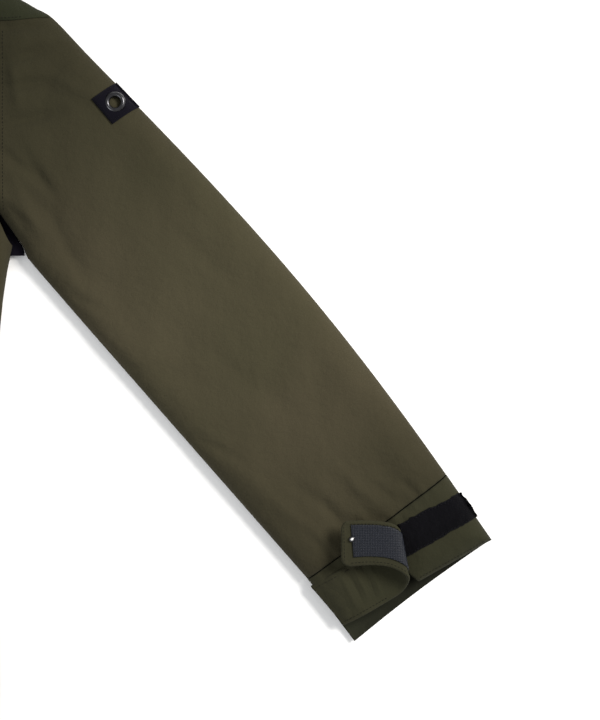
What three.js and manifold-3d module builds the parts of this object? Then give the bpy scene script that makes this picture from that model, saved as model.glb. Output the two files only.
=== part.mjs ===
// A hooded beekeeping jacket laid flat on its back, front up, zip closed, arms out to the sides.
// Millimetres, +Z up, +Y towards the neck, +X towards the wearer's left.
// Origin: on the surface it lies on, under the middle of the back at chest height.
import * as THREE from "three";
import { mergeVertices } from "three/addons/utils/BufferGeometryUtils.js";
import Module from "manifold-3d";

const wasm = await Module();
wasm.setup();

// Cloth and clearances
const gap = 0.3; // between pieces that touch or are cut from one another
const cloth = 1.6; // shell cloth with its lining
const seamWall = 2; // cloth turned through a side seam
const bodyLoft = 26; // height of the flattened body and hood
const sleeveLoft = 24; // height of a flattened sleeve
const mouthReach = 12; // a shell's hollow is cut this far past its open edges

// Body
const halfChest = 262;
const halfWaist = 245;
const halfHem = 249;
const armpitY = 60;
const waistY = -150;
const hemSeamY = -350;
const hemBandDepth = 42;
const neckHalf = 88;
const neckPointY = 372;
const backNeckDip = 8;
const frontNeckDrop = 50;
const shoulderBow = 7; // rise of the shoulder line above a straight one
const sideHollow = 60; // the side starts to draw in this far below the armpit
const armholeInset = 12; // the armhole line lies this far inside the chest edge
const armholeRise = 25; // and starts this far above the armpit
const collarTopY = 396;

// Sleeves: lengths along the outer edge from the shoulder tip, widths across it
const shoulderReach = 37; // shoulder tip beyond the chest edge
const shoulderTipY = 271.5;
const sleeveLength = 632;
const sleeveDrop = THREE.MathUtils.degToRad(49.9);
const sleeveBulge = 17.4; // how far the outer edge bows out at the elbow
const elbowShare = 1.1; // above 1 moves the bow towards the cuff
const underarmStart = 159;
const upperArmWidth = 161;
const cuffWidth = 154;
const cuffDepthOuter = 73;
const cuffDepthUnder = 82;
const cuffSkew = 28; // the front cuff edge is this much shorter at the underarm side
const cuffTail = 9; // how far short the back layer is there, so that it shows past the front one

// Cuff tab and its two tapes
const loopTapeWidth = 27;
const loopTapeThick = 2.2;
const tabWidth = 41.3;
const tabLength = 45;
const tabThick = 2.6;
const tabLift = 4; // underside of the folded leaf above the fold line
const hookTapeInset = 8.5;
const hookTapeThick = 1.4;
const rivetRadius = 2.2;
const foldAcross = 76.6; // the tab's fold line crosses the cuff here
const foldBack = 46.9;
const foldTurn = THREE.MathUtils.degToRad(-79.3);

// Sleeve tab with its eyelet
const patchSize = 30;
const patchAlong = 84;
const patchAcross = 21;
const eyeletRadius = 9.7;
const eyeletBore = 4.7;
const eyeletHeight = 2.2;

// Front zip
const zipGap = 1.6; // open slot between the two chains
const tapeWidth = 15.6;
const tapeThick = 1.4;
const chainWidth = 2.4;
const chainThick = 3.6;
const sliderLength = 12;
const sliderHalf = 5.5;
const sliderPlate = 1.6;
const sliderClear = 0.4;
const finThick = 0.8;
const lugHeight = 3;
const lugThick = 1.6;
const pullLength = 30;
const pullThick = 1.4;
const pullPin = 1.1;
const windFlapLeft = 24;
const windFlapRight = 30;
const boxHeight = 9;

// Pockets
const pocketInner = 82;
const pocketWidth = 140;
const pocketMouthY = -132;
const pocketDepth = 158;
const pocketRoom = 6;
const flapOverhang = 4;
const flapRise = 14; // the flap's sewn edge above the pocket mouth
const flapDepth = 58;
const studRadius = 5;
const studHeight = 1.4;
const capRadius = 6.5;
const capHeight = 1.7;
const studDrop = 28; // press stud below the pocket mouth

// Hood and veil
const hoodNeckHalf = 98;
const hoodHalf = 165;
const hoodTopY = 768;
const hoodWideY = 560;
const faceCentreY = 592;
const faceHalf = 112;
const faceRise = 128;
const bindingWidth = 11;
const hoopRadius = 1.4;
const hoopBow = 24;
const hoopSpread = 66; // hoops this far above and below the middle of the face
const zipTapeRun = 3.2;

const colour = {
  shell: 0x3e3a29,
  yoke: 0x313224,
  trim: 0x1d1a20,
  fuzz: 0x0e0e10,
  hook: 0x1d1f24,
  metal: 0x8b8a86,
  chain: 0x1a1a1a,
  veil: 0x101010,
  rib: 0x2c2a20,
};

function finish(hex, roughness, metalness = 0) {
  return { color: hex, roughness, metalness };
}

const shellCloth = finish(colour.shell, 0.85);
const yokeCloth = finish(colour.yoke, 0.85);
const darkCloth = finish(colour.trim, 0.9);
const ribCloth = finish(colour.rib, 0.95);
const loopTape = finish(colour.fuzz, 1);
const hookTape = finish(colour.hook, 0.5);
const steel = finish(colour.metal, 0.35, 0.9);
const moulded = finish(colour.chain, 0.5);
const netting = finish(colour.veil, 0.8);

const jacket = new THREE.Group();

function addPiece(group, name, geometry, look) {
  const piece = new THREE.Mesh(geometry, new THREE.MeshStandardMaterial(look));
  piece.name = name;
  group.add(piece);
}

// ---- solids ----

function outlineShape(points) {
  return new THREE.Shape(points.map(([x, y]) => new THREE.Vector2(x, y)));
}

// A flat piece of cloth or plastic with this outline, from z up by thick.
function plate(points, z, thick, hole) {
  const shape = outlineShape(points);
  if (hole) shape.holes.push(outlineShape(hole));
  const solid = new THREE.ExtrudeGeometry(shape, { depth: thick, bevelEnabled: false });
  return solid.translate(0, 0, z);
}

function block(x0, x1, y0, y1, z0, z1) {
  const box = new THREE.BoxGeometry(x1 - x0, y1 - y0, z1 - z0);
  return box.translate((x0 + x1) / 2, (y0 + y1) / 2, (z0 + z1) / 2);
}

function toSolid(geometry) {
  const bare = geometry.clone();
  bare.deleteAttribute("normal");
  bare.deleteAttribute("uv");
  const merged = mergeVertices(bare, 1e-3);
  return new wasm.Manifold(
    new wasm.Mesh({
      numProp: 3,
      vertProperties: merged.attributes.position.array,
      triVerts: new Uint32Array(merged.index.array),
    }),
  );
}

function fromSolid(solid) {
  const mesh = solid.getMesh();
  const geometry = new THREE.BufferGeometry();
  geometry.setAttribute("position", new THREE.Float32BufferAttribute(mesh.vertProperties, 3));
  geometry.setIndex([...mesh.triVerts]);
  return geometry.toNonIndexed();
}

function joined(...geometries) {
  const solids = geometries.map(toSolid);
  return fromSolid(solids.reduce((whole, next) => whole.add(next)));
}

function cutFrom(geometry, ...cutters) {
  return fromSolid(cutters.map(toSolid).reduce((left, cutter) => left.subtract(cutter), toSolid(geometry)));
}

// ---- outlines ----

const mirrored = (points) => points.map(([x, y]) => [-x, y]).reverse();

function along(curve, steps) {
  return curve.getPoints(steps).map((p) => [p.x, p.y]);
}

function bend(from, control, to, steps) {
  const [a, b, c] = [from, control, to].map(([x, y]) => new THREE.Vector2(x, y));
  return along(new THREE.QuadraticBezierCurve(a, b, c), steps);
}

// An open run of points moved to its left-hand side, with its two ends carried on past the edge.
function innerRun(run, width) {
  const last = run.length - 1;
  return run.map((point, i) => {
    const before = run[Math.max(i - 1, 0)];
    const after = run[Math.min(i + 1, last)];
    const length = Math.hypot(after[0] - before[0], after[1] - before[1]);
    const dx = (after[0] - before[0]) / length;
    const dy = (after[1] - before[1]) / length;
    const carry = i === 0 ? -mouthReach : i === last ? mouthReach : 0;
    return [point[0] - dy * width + dx * carry, point[1] + dx * width + dy * carry];
  });
}

// The lower half of a flattened shell: a floor with seam walls along these runs and open between them.
// The runs follow one another anticlockwise.
function tray(outline, runs, loft) {
  const cavity = runs.flatMap((run) => innerRun(run, seamWall));
  return cutFrom(plate(outline, 0, loft - cloth - gap), plate(cavity, cloth, loft));
}

// ---- body ----

const armholeX = halfChest - armholeInset;
const shoulderTip = [halfChest + shoulderReach, shoulderTipY];
const shoulderSlope = (neckPointY - shoulderTip[1]) / (shoulderTip[0] - neckHalf);

function shoulderYAt(x) {
  const share = (x - neckHalf) / (shoulderTip[0] - neckHalf);
  return neckPointY - (x - neckHalf) * shoulderSlope + shoulderBow * Math.sin(Math.PI * share);
}

function shoulderLine(fromX, toX, steps) {
  return Array.from({ length: steps + 1 }, (_, i) => {
    const x = fromX + ((toX - fromX) * i) / steps;
    return [x, shoulderYAt(x)];
  });
}

const frontEdge = zipGap / 2 + tapeWidth + gap;
const bodyTop = bodyLoft;
const clothTop = bodyLoft - cloth;

const sideRun = [
  ...bend([halfHem, hemSeamY + gap], [halfWaist - 1, (hemSeamY + waistY) / 2], [halfWaist, waistY], 4),
  ...bend([halfWaist, waistY], [halfWaist + 1, armpitY - sideHollow], [halfChest, armpitY], 6).slice(1),
];
const armholeLow = [armholeX, armpitY + armholeRise];
const shoulderRun = shoulderLine(armholeX, neckHalf, 6);

function sideXAt(y) {
  const above = sideRun.findIndex((point) => point[1] >= y);
  const [x0, y0] = sideRun[above - 1];
  const [x1, y1] = sideRun[above];
  return x0 + ((x1 - x0) * (y - y0)) / (y1 - y0);
}

function addBack() {
  const rightHalf = [...sideRun, armholeLow, ...shoulderRun];
  const dip = [0, neckPointY - backNeckDip];
  const outline = [...rightHalf, dip, ...mirrored(rightHalf)];
  const runs = [sideRun, shoulderRun, mirrored(shoulderRun), mirrored(sideRun)];
  addPiece(jacket, "back_panel", tray(outline, runs, bodyLoft), shellCloth);
}

const frontNeckY = neckPointY - frontNeckDrop;
const neckRun = bend([neckHalf, neckPointY], [neckHalf - 12, frontNeckY + 4], [frontEdge, frontNeckY], 6);

function addFront(side, group) {
  const outline = [[frontEdge, hemSeamY + gap], ...sideRun, armholeLow, ...shoulderRun, ...neckRun.slice(1)];
  addPiece(group, `front_panel_${side}`, plate(outline, clothTop, cloth), shellCloth);
  const yoke = [
    [armholeX - gap, shoulderTipY - 5.5],
    ...shoulderLine(armholeX - gap, neckHalf, 5),
    [neckHalf - 14, neckPointY - 28],
    [neckHalf + 60, shoulderTipY + 8],
  ];
  addPiece(group, `shoulder_yoke_${side}`, plate(yoke, bodyTop + gap, cloth), yokeCloth);
  const [low, high] = [armpitY - 9, armpitY - 0.5];
  const underarm = [
    [sideXAt(low) + 2 * gap, low],
    [halfChest + 11, low + 1],
    [halfChest + 8.5, high],
    [sideXAt(high) + 2 * gap, high],
  ];
  addPiece(group, `underarm_gusset_${side}`, plate(underarm, cloth, 9), darkCloth);
  const bandFront = [
    [frontEdge, hemSeamY - hemBandDepth],
    [halfHem - 3, hemSeamY - hemBandDepth],
    [halfHem, hemSeamY],
    [frontEdge, hemSeamY],
  ];
  addPiece(group, `hem_band_front_${side}`, plate(bandFront, clothTop, cloth), ribCloth);
  const collar = [
    ...[...neckRun].reverse().map(([x, y]) => [x, y + gap]),
    [neckHalf + 5, collarTopY],
    [frontEdge, collarTopY],
  ];
  addPiece(group, `collar_front_${side}`, plate(collar, clothTop, cloth), shellCloth);
}

function addBackTrim() {
  const bandSide = [[halfHem - 3, hemSeamY - hemBandDepth], [halfHem, hemSeamY]];
  const band = [...bandSide, ...mirrored(bandSide)];
  addPiece(jacket, "hem_band_back", tray(band, [bandSide, mirrored(bandSide)], bodyLoft), ribCloth);
  const collarSide = [[neckHalf, neckPointY + gap], [neckHalf + 5, collarTopY]];
  const dip = [0, neckPointY - backNeckDip + gap];
  const collar = [dip, ...collarSide, ...mirrored(collarSide)];
  addPiece(jacket, "collar_back", tray(collar, [collarSide, mirrored(collarSide)], bodyLoft), shellCloth);
  const loop = block(-30, 30, neckPointY - 26, neckPointY - 18, cloth + gap, cloth + gap + tapeThick);
  addPiece(jacket, "hanger_loop", loop, darkCloth);
}

// ---- front zip ----

const zipTop = collarTopY - 12;
const zipBottom = hemSeamY - hemBandDepth;
const tapeZ = bodyTop - tapeThick;
const chainZ = tapeZ + tapeThick / 2 - chainThick / 2;
const chainTopZ = chainZ + chainThick;
const sliderRestY = zipTop - 10;
const sliderFloorZ = chainZ - sliderClear - sliderPlate;
const sliderDeckZ = chainTopZ + sliderClear + sliderPlate;
const pullZ = sliderDeckZ + gap + 1.8;

function addZipHalf(side, group) {
  const inner = zipGap / 2;
  const tape = block(inner, inner + tapeWidth, zipBottom, zipTop, tapeZ, bodyTop);
  const chain = block(inner, inner + chainWidth, zipBottom + boxHeight + gap, zipTop, chainZ, chainTopZ);
  addPiece(group, `zip_tape_${side}`, joined(tape, chain), moulded);
}

function addZipFittings() {
  const halfLength = sliderLength / 2;
  const [back, front] = [sliderRestY - halfLength, sliderRestY + halfLength];
  const lugInner = sliderHalf - 1 - lugThick;
  const [lugBack, lugFront] = [sliderRestY - 1.8, sliderRestY + 1.8];
  const lugTop = sliderDeckZ + lugHeight;
  const lug = (x) => block(x, x + lugThick, lugBack, lugFront, sliderDeckZ - 0.1, lugTop);
  const slider = joined(
    block(-sliderHalf, sliderHalf, back, front, sliderDeckZ - sliderPlate, sliderDeckZ),
    block(-sliderHalf, sliderHalf, back, front, sliderFloorZ, sliderFloorZ + sliderPlate),
    block(-finThick / 2, finThick / 2, back, front, sliderFloorZ + 0.1, sliderDeckZ - 0.1),
    lug(lugInner),
    lug(-lugInner - lugThick),
  );
  addPiece(jacket, "zip_slider", slider, steel);
  const neck = lugInner - gap;
  const pin = new THREE.CylinderGeometry(pullPin, pullPin, neck * 2, 12);
  pin.rotateZ(Math.PI / 2);
  pin.translate(0, sliderRestY, pullZ);
  const grip = [
    [-neck, sliderRestY],
    [-neck, sliderRestY - 9],
    [-neck - 1.6, sliderRestY - pullLength],
    [neck + 1.6, sliderRestY - pullLength],
    [neck, sliderRestY - 9],
    [neck, sliderRestY],
  ];
  const pull = joined(plate(grip, pullZ - pullThick / 2, pullThick), pin);
  addPiece(jacket, "zip_pull", pull, steel);
  const bottomStop = joined(
    block(-4, 4, zipBottom, zipBottom + boxHeight, bodyTop + gap, chainTopZ + 1),
    block(-finThick / 2, finThick / 2, zipBottom, zipBottom + boxHeight, sliderFloorZ + 1, bodyTop + 0.5),
    block(-4, 4, zipBottom, zipBottom + boxHeight, sliderFloorZ, tapeZ - gap),
  );
  addPiece(jacket, "zip_retainer_box", bottomStop, steel);
  const flapTop = sliderFloorZ - sliderClear;
  const windFlapTop = frontNeckY + 20;
  const flapZ0 = flapTop - cloth;
  const windFlap = block(-windFlapRight, windFlapLeft, zipBottom + 2, windFlapTop, flapZ0, flapTop);
  addPiece(jacket, "wind_flap", windFlap, shellCloth);
}

// ---- pockets ----

const pocketOuter = pocketInner + pocketWidth;
const pocketMiddle = (pocketInner + pocketOuter) / 2;
const bagWall = 1.5;
const bagZ = bodyTop + gap;
const bagTop = bagZ + pocketRoom + 2 * bagWall;
const flapZ = bagTop + 2 * gap + studHeight;
const studY = pocketMouthY - studDrop;

function disc(radius, x, y, z, height) {
  const round = new THREE.CylinderGeometry(radius, radius, height, 24);
  round.rotateX(Math.PI / 2);
  return round.translate(x, y, z + height / 2);
}

function addPocket(side, group) {
  const bottomY = pocketMouthY - pocketDepth;
  const bag = block(pocketInner, pocketOuter, bottomY, pocketMouthY, bagZ, bagTop);
  const room = block(
    pocketInner + bagWall,
    pocketOuter - bagWall,
    bottomY + bagWall,
    pocketMouthY + 1,
    bagZ + bagWall,
    bagTop - bagWall,
  );
  addPiece(group, `pocket_bag_${side}`, cutFrom(bag, room), shellCloth);
  addPiece(group, `press_stud_${side}`, disc(studRadius, pocketMiddle, studY, bagTop + gap, studHeight), steel);
  const top = pocketMouthY + flapRise;
  const flap = [
    [pocketInner - flapOverhang, top],
    [pocketInner - flapOverhang, top - flapDepth + 8],
    [pocketInner + 4, top - flapDepth],
    [pocketOuter - 4, top - flapDepth],
    [pocketOuter + flapOverhang, top - flapDepth + 8],
    [pocketOuter + flapOverhang, top],
  ];
  addPiece(group, `pocket_flap_${side}`, plate(flap, flapZ, cloth), shellCloth);
  const capZ = flapZ + cloth + gap;
  addPiece(group, `press_cap_${side}`, disc(capRadius, pocketMiddle, studY, capZ, capHeight), steel);
}

// ---- sleeves ----

const sleeveAxis = [Math.cos(sleeveDrop), -Math.sin(sleeveDrop)];
// A point so far along the sleeve from the shoulder tip and so far across it from the outer edge.
const onSleeve = (length, across) => [
  shoulderTip[0] + length * sleeveAxis[0] + across * sleeveAxis[1],
  shoulderTip[1] + length * sleeveAxis[1] - across * sleeveAxis[0],
];
// The same, with the length measured back from the cuff.
const onCuff = (back, across) => onSleeve(sleeveLength - back, across);
const bulgeAt = (length) => -sleeveBulge * Math.sin(Math.PI * (length / sleeveLength) ** elbowShare);

function outerEdge(from, to, steps) {
  return Array.from({ length: steps + 1 }, (_, i) => {
    const length = from + ((to - from) * i) / steps;
    return onSleeve(length, bulgeAt(length));
  });
}

const outerSeam = sleeveLength - cuffDepthOuter;
const underSeam = sleeveLength - cuffDepthUnder;
const sleeveStart = armholeX + 2 * gap;
const sleeveCloth = sleeveLoft - cloth;
const underarmCorner = [halfChest + 9.5, armpitY + 0.3];
const armholeFoot = [sleeveStart, armpitY + armholeRise + 4];
const outerRun = outerEdge(0, outerSeam, 12);
const underRun = [onSleeve(underSeam, cuffWidth), onSleeve(underarmStart, upperArmWidth), underarmCorner];
const headRun = shoulderLine(sleeveStart, shoulderTip[0], 3).slice(0, -1);
const sleeveOutline = [...headRun, ...outerRun, ...underRun, armholeFoot];

function addSleeve(side, group) {
  const outline = [...sleeveOutline].reverse();
  addPiece(group, `${side}_sleeve_upper`, plate(outline, sleeveCloth, cloth), shellCloth);
  const walls = [[...underRun, armholeFoot], [...headRun, ...outerRun]].map((run) => run.reverse());
  addPiece(group, `${side}_sleeve_under`, tray(outline, walls, sleeveLoft), shellCloth);
  const cap = [
    [sleeveStart, shoulderTipY - 5.5],
    [halfChest + 3, shoulderTipY - 5],
    ...shoulderLine(shoulderTip[0], sleeveStart, 3),
  ];
  addPiece(group, `${side}_shoulder_cap`, plate(cap, sleeveLoft + gap, cloth), yokeCloth);
}

function addCuff(side, group) {
  const seam = [onCuff(cuffDepthUnder - gap, cuffWidth), onCuff(cuffDepthOuter - gap, bulgeAt(outerSeam))];
  const tip = onCuff(0, 0);
  const tailCorner = onCuff(cuffTail, cuffWidth + 4);
  const backRun = [onCuff(5.5, 64), onCuff(8, 112), tailCorner];
  const back = [...seam, tip, ...backRun];
  const walls = [[seam[0], tailCorner], [tip, seam[1]]];
  addPiece(group, `${side}_cuff_back`, tray([...back].reverse(), walls, sleeveLoft), shellCloth);
  const slit = [onCuff(15.3, foldAcross), onCuff(46, foldAcross + 6), onCuff(18, foldAcross + 22)];
  const front = [...seam, tip, ...slit, onCuff(cuffSkew, cuffWidth)];
  addPiece(group, `${side}_cuff_front`, plate([...front].reverse(), sleeveCloth, cloth), shellCloth);
  const loop = [onCuff(67.5, 50), onCuff(52, -5), onCuff(52 - loopTapeWidth, -2.6), onCuff(40, 65)];
  addPiece(group, `${side}_loop_tape`, plate(loop.reverse(), sleeveLoft + gap, loopTapeThick), loopTape);
  const root = [onCuff(24.4, 136), onCuff(20, 99), onCuff(60.5, 92), onCuff(66, 128.7)];
  addPiece(group, `${side}_tab_root`, plate(root, sleeveLoft + gap, loopTapeThick), shellCloth);
}

const foldPoint = onCuff(foldBack, foldAcross);
const foldZ = sleeveLoft + 2 * gap + loopTapeThick + tabLift + hookTapeThick + gap + tabThick;
const foldLineXAt = (y) => foldPoint[0] + (y - foldPoint[1]) / Math.tan(foldTurn);

// The free leaf of the tab, folded back from the fold line so that its tape faces up.
function addTabLeaf(side, group) {
  const middleY = foldPoint[1] + 12;
  const [low, high] = [middleY - tabWidth / 2, middleY + tabWidth / 2];
  const tipX = foldPoint[0] - tabLength - 6.5;
  const corner = 7;
  const leaf = [
    [foldLineXAt(low) - 2, low],
    [foldLineXAt(high) - 2, high],
    [tipX + corner, high],
    ...bend([tipX + corner, high], [tipX, high], [tipX, high - corner], 4).slice(1),
    ...bend([tipX, low + corner], [tipX, low], [tipX + corner, low], 4),
  ];
  const leafZ = foldZ + tabLift;
  addPiece(group, `${side}_tab_leaf`, plate(leaf, leafZ, tabThick), shellCloth);
  const tapeZ0 = leafZ + tabThick + gap;
  const tapeLeft = tipX + hookTapeInset + 2;
  const tape = [
    [foldLineXAt(low) - 4, low + hookTapeInset],
    [foldLineXAt(high) - 4, high - 3.5],
    [tapeLeft, high - 3.5],
    [tapeLeft, low + hookTapeInset],
  ];
  addPiece(group, `${side}_hook_tape`, plate(tape, tapeZ0, hookTapeThick), hookTape);
  const rivet = disc(rivetRadius, tapeLeft - rivetRadius - 1, middleY + 3, tapeZ0, 1);
  addPiece(group, `${side}_tab_rivet`, rivet, steel);
}

// A square cloth tab sewn over the upper arm, with a plain metal eyelet.
function addSleeveBadge(group) {
  const [start, end] = [patchAlong, patchAlong + patchSize];
  const square = [
    onSleeve(start, patchAcross),
    onSleeve(end, patchAcross),
    onSleeve(end + 2, patchAcross - patchSize),
    onSleeve(start + 1, patchAcross - patchSize + 2),
  ];
  const [x, y] = onSleeve(patchAlong + 15.7, patchAcross - 15);
  const patchZ = sleeveLoft + gap;
  const patch = plate(square, patchZ, cloth);
  const bore = disc(eyeletBore + 0.4, x, y, patchZ - 1, cloth + 2);
  addPiece(group, "left_sleeve_patch", cutFrom(patch, bore), darkCloth);
  const profile = [
    [eyeletBore, 0],
    [eyeletRadius, 0],
    [eyeletRadius - 0.6, eyeletHeight * 0.6],
    [(eyeletRadius + eyeletBore) / 2, eyeletHeight],
    [eyeletBore + 0.6, eyeletHeight * 0.6],
    [eyeletBore, 0],
  ];
  const ring = new THREE.LatheGeometry(profile.map(([r, h]) => new THREE.Vector2(r, h)), 32);
  ring.rotateX(Math.PI / 2);
  ring.translate(x, y, patchZ + cloth + gap);
  addPiece(group, "left_sleeve_eyelet", ring, steel);
}

// ---- hood and veil ----

const hoodSeamY = collarTopY + 2 * zipTapeRun + zipGap / 2 + 2 * gap;

function hoodSide() {
  const shoulder = [hoodHalf, hoodWideY];
  return [
    ...bend([hoodNeckHalf, hoodSeamY], [hoodHalf - 4, hoodSeamY + 50], shoulder, 6),
    ...bend(shoulder, [hoodHalf + 3, hoodTopY - 8], [0, hoodTopY], 10).slice(1),
  ];
}

function oval(halfX, halfY, steps) {
  const ring = new THREE.EllipseCurve(0, faceCentreY, halfX, halfY);
  return along(ring, steps).slice(0, -1);
}

function addHood() {
  const side = hoodSide();
  const outline = [...side, ...mirrored(side).slice(1)];
  addPiece(jacket, "hood_back", tray(outline, [outline], bodyLoft), shellCloth);
  const face = oval(faceHalf, faceRise, 32);
  addPiece(jacket, "hood_front", plate(outline, clothTop, cloth, face), shellCloth);
  addPiece(jacket, "veil_mesh", plate(oval(faceHalf - gap, faceRise - gap, 32), clothTop, cloth), netting);
  const half = bindingWidth / 2;
  const outer = oval(faceHalf + half, faceRise + half, 32);
  const inner = oval(faceHalf - half, faceRise - half, 32);
  addPiece(jacket, "veil_binding", plate(outer, bodyTop + gap, cloth, inner), darkCloth);
}

function hoopAt(y) {
  const z = clothTop - gap - hoopRadius - 0.2;
  const reach = faceHalf + 14;
  const path = new THREE.QuadraticBezierCurve3(
    new THREE.Vector3(-reach, y, z),
    new THREE.Vector3(0, y + hoopBow, z),
    new THREE.Vector3(reach, y, z),
  );
  const section = new THREE.Shape().absarc(0, 0, hoopRadius, 0, 2 * Math.PI);
  return new THREE.ExtrudeGeometry(section, {
    extrudePath: path,
    steps: 14,
    curveSegments: 4,
    bevelEnabled: false,
  });
}

function addNeckZip() {
  const half = neckHalf - 2;
  const bodyEdge = collarTopY + gap;
  const lower = block(-half, half, bodyEdge, bodyEdge + zipTapeRun, tapeZ, bodyTop);
  const start = bodyEdge + zipTapeRun + zipGap / 2;
  const upper = block(-half, half, start, start + zipTapeRun - gap, tapeZ, bodyTop);
  addPiece(jacket, "neck_zip_collar_half", lower, moulded);
  addPiece(jacket, "neck_zip_hood_half", upper, moulded);
}

// ---- assembly ----

addBack();
addBackTrim();
addZipFittings();
addNeckZip();
addHood();
addPiece(jacket, "veil_hoop_upper", hoopAt(faceCentreY + hoopSpread), steel);
addPiece(jacket, "veil_hoop_lower", hoopAt(faceCentreY - hoopSpread - hoopBow), steel);

for (const side of ["left", "right"]) {
  const half = new THREE.Group();
  if (side === "right") half.scale.x = -1;
  jacket.add(half);
  addFront(side, half);
  addZipHalf(side, half);
  addPocket(side, half);
  addSleeve(side, half);
  addCuff(side, half);
  addTabLeaf(side, half);
  if (side === "left") addSleeveBadge(half);
}

export default jacket;
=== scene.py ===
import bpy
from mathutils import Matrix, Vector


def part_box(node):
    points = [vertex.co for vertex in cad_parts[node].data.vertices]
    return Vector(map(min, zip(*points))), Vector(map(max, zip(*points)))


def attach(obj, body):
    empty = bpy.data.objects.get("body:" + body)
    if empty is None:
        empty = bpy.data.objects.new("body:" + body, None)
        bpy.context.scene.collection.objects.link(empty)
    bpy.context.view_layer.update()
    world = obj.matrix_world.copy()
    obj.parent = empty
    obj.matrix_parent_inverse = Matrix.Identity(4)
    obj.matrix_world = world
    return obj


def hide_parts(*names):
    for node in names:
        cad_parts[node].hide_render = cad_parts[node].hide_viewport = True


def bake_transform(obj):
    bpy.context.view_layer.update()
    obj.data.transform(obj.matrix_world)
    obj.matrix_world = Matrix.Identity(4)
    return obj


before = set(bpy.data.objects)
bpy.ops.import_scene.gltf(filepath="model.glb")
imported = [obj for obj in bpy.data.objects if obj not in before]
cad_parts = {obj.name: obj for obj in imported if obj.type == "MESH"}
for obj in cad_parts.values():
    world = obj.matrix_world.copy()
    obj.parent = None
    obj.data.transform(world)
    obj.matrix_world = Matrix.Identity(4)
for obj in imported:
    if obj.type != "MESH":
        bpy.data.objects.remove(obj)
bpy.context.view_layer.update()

import math
import random

import bmesh
import bpy
import numpy as np
from mathutils import Vector, noise
from mathutils.geometry import delaunay_2d_cdt

# A hooded cotton jacket laid flat, front up. Metres throughout, in the frame's own axes.
mm = 0.001
random.seed(7)


# Where things are, read from the frame.

def corners(node):
    return tuple(Vector(c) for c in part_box(node))


def flatOutlines(node, below=False):  # the runs round a plate's top, or round a tray's floor
    mesh = bmesh.new()
    mesh.from_mesh(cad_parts[node].data)
    bmesh.ops.remove_doubles(mesh, verts=mesh.verts, dist=1e-6)
    zs = [v.co.z for v in mesh.verts]
    level = min(zs) if below else max(zs)
    facing = {f for f in mesh.faces if all(abs(v.co.z - level) < 1e-5 for v in f.verts)}
    nextTo = {}
    for face in facing:
        for loop in face.loops:
            if sum(f in facing for f in loop.edge.link_faces) == 1:
                a, b = loop.vert, loop.link_loop_next.vert
                nextTo[a] = b
    runs = []
    while nextTo:
        start = next(iter(nextTo))
        run, here = [], start
        while here in nextTo:
            run.append((here.co.x, here.co.y))
            here = nextTo.pop(here)
        runs.append(np.array(run))
    mesh.free()
    runs = [r if signedArea(r) > 0 else r[::-1] for r in runs]
    return sorted(runs, key=lambda r: -signedArea(r))


def signedArea(run):
    x, y = run[:, 0], run[:, 1]
    return 0.5 * float(np.sum(x * np.roll(y, -1) - y * np.roll(x, -1)))


def segmentsOf(run, closed=True):
    ends = np.roll(run, -1, axis=0)
    pairs = np.hstack([run, ends])
    return pairs if closed else pairs[:-1]


def nearest(points, segments):  # distance to the nearest segment, and how far along all of them it lies
    a, b = segments[:, :2], segments[:, 2:]
    span = b - a
    size = np.maximum(np.sum(span * span, axis=1), 1e-12)
    lengths = np.sqrt(size)
    starts = np.concatenate([[0], np.cumsum(lengths)[:-1]])
    best = np.full(len(points), 1e9)
    at = np.zeros(len(points))
    for i in range(len(segments)):
        rel = points - a[i]
        t = np.clip(rel @ span[i] / size[i], 0, 1)
        gap = np.linalg.norm(rel - t[:, None] * span[i], axis=1)
        closer = gap < best
        best[closer] = gap[closer]
        at[closer] = (starts[i] + t * lengths[i])[closer]
    return best, at


def rounded(run, step, corner=24):  # smooths a run between its real corners, then spaces it evenly
    count = len(run)
    before, after = np.roll(run, 1, axis=0), np.roll(run, -1, axis=0)
    inward, outward = run - before, after - run
    turn = np.degrees(np.abs(np.arctan2(
        inward[:, 0] * outward[:, 1] - inward[:, 1] * outward[:, 0],
        np.sum(inward * outward, axis=1))))
    sharp = turn > corner
    points = []
    for i in range(count):
        p0, p1, p2, p3 = before[i], run[i], after[i], run[(i + 2) % count]
        m1 = (p2 - p0) / 2 if not sharp[i] else p2 - p1
        m2 = (p3 - p1) / 2 if not sharp[(i + 1) % count] else p2 - p1
        length = np.linalg.norm(p2 - p1)
        m1 = m1 * min(1, length / max(np.linalg.norm(m1), 1e-9))
        m2 = m2 * min(1, length / max(np.linalg.norm(m2), 1e-9))
        pieces = max(1, round(length / step))
        for k in range(pieces):
            t = k / pieces
            points.append((2 * t**3 - 3 * t**2 + 1) * p1 + (t**3 - 2 * t**2 + t) * m1
                          + (3 * t**2 - 2 * t**3) * p2 + (t**3 - t**2) * m2)
    return np.array(points)


def inside(points, run):
    x, y = points[:, 0], points[:, 1]
    hit = np.zeros(len(points), bool)
    ax, ay = run[:, 0], run[:, 1]
    bx, by = np.roll(ax, -1), np.roll(ay, -1)
    for i in range(len(run)):
        crosses = (ay[i] > y) != (by[i] > y)
        with np.errstate(divide="ignore", invalid="ignore"):
            xs = (bx[i] - ax[i]) * (y - ay[i]) / (by[i] - ay[i]) + ax[i]
        hit ^= crosses & (x < xs)
    return hit


# The lie of the cloth.

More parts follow.
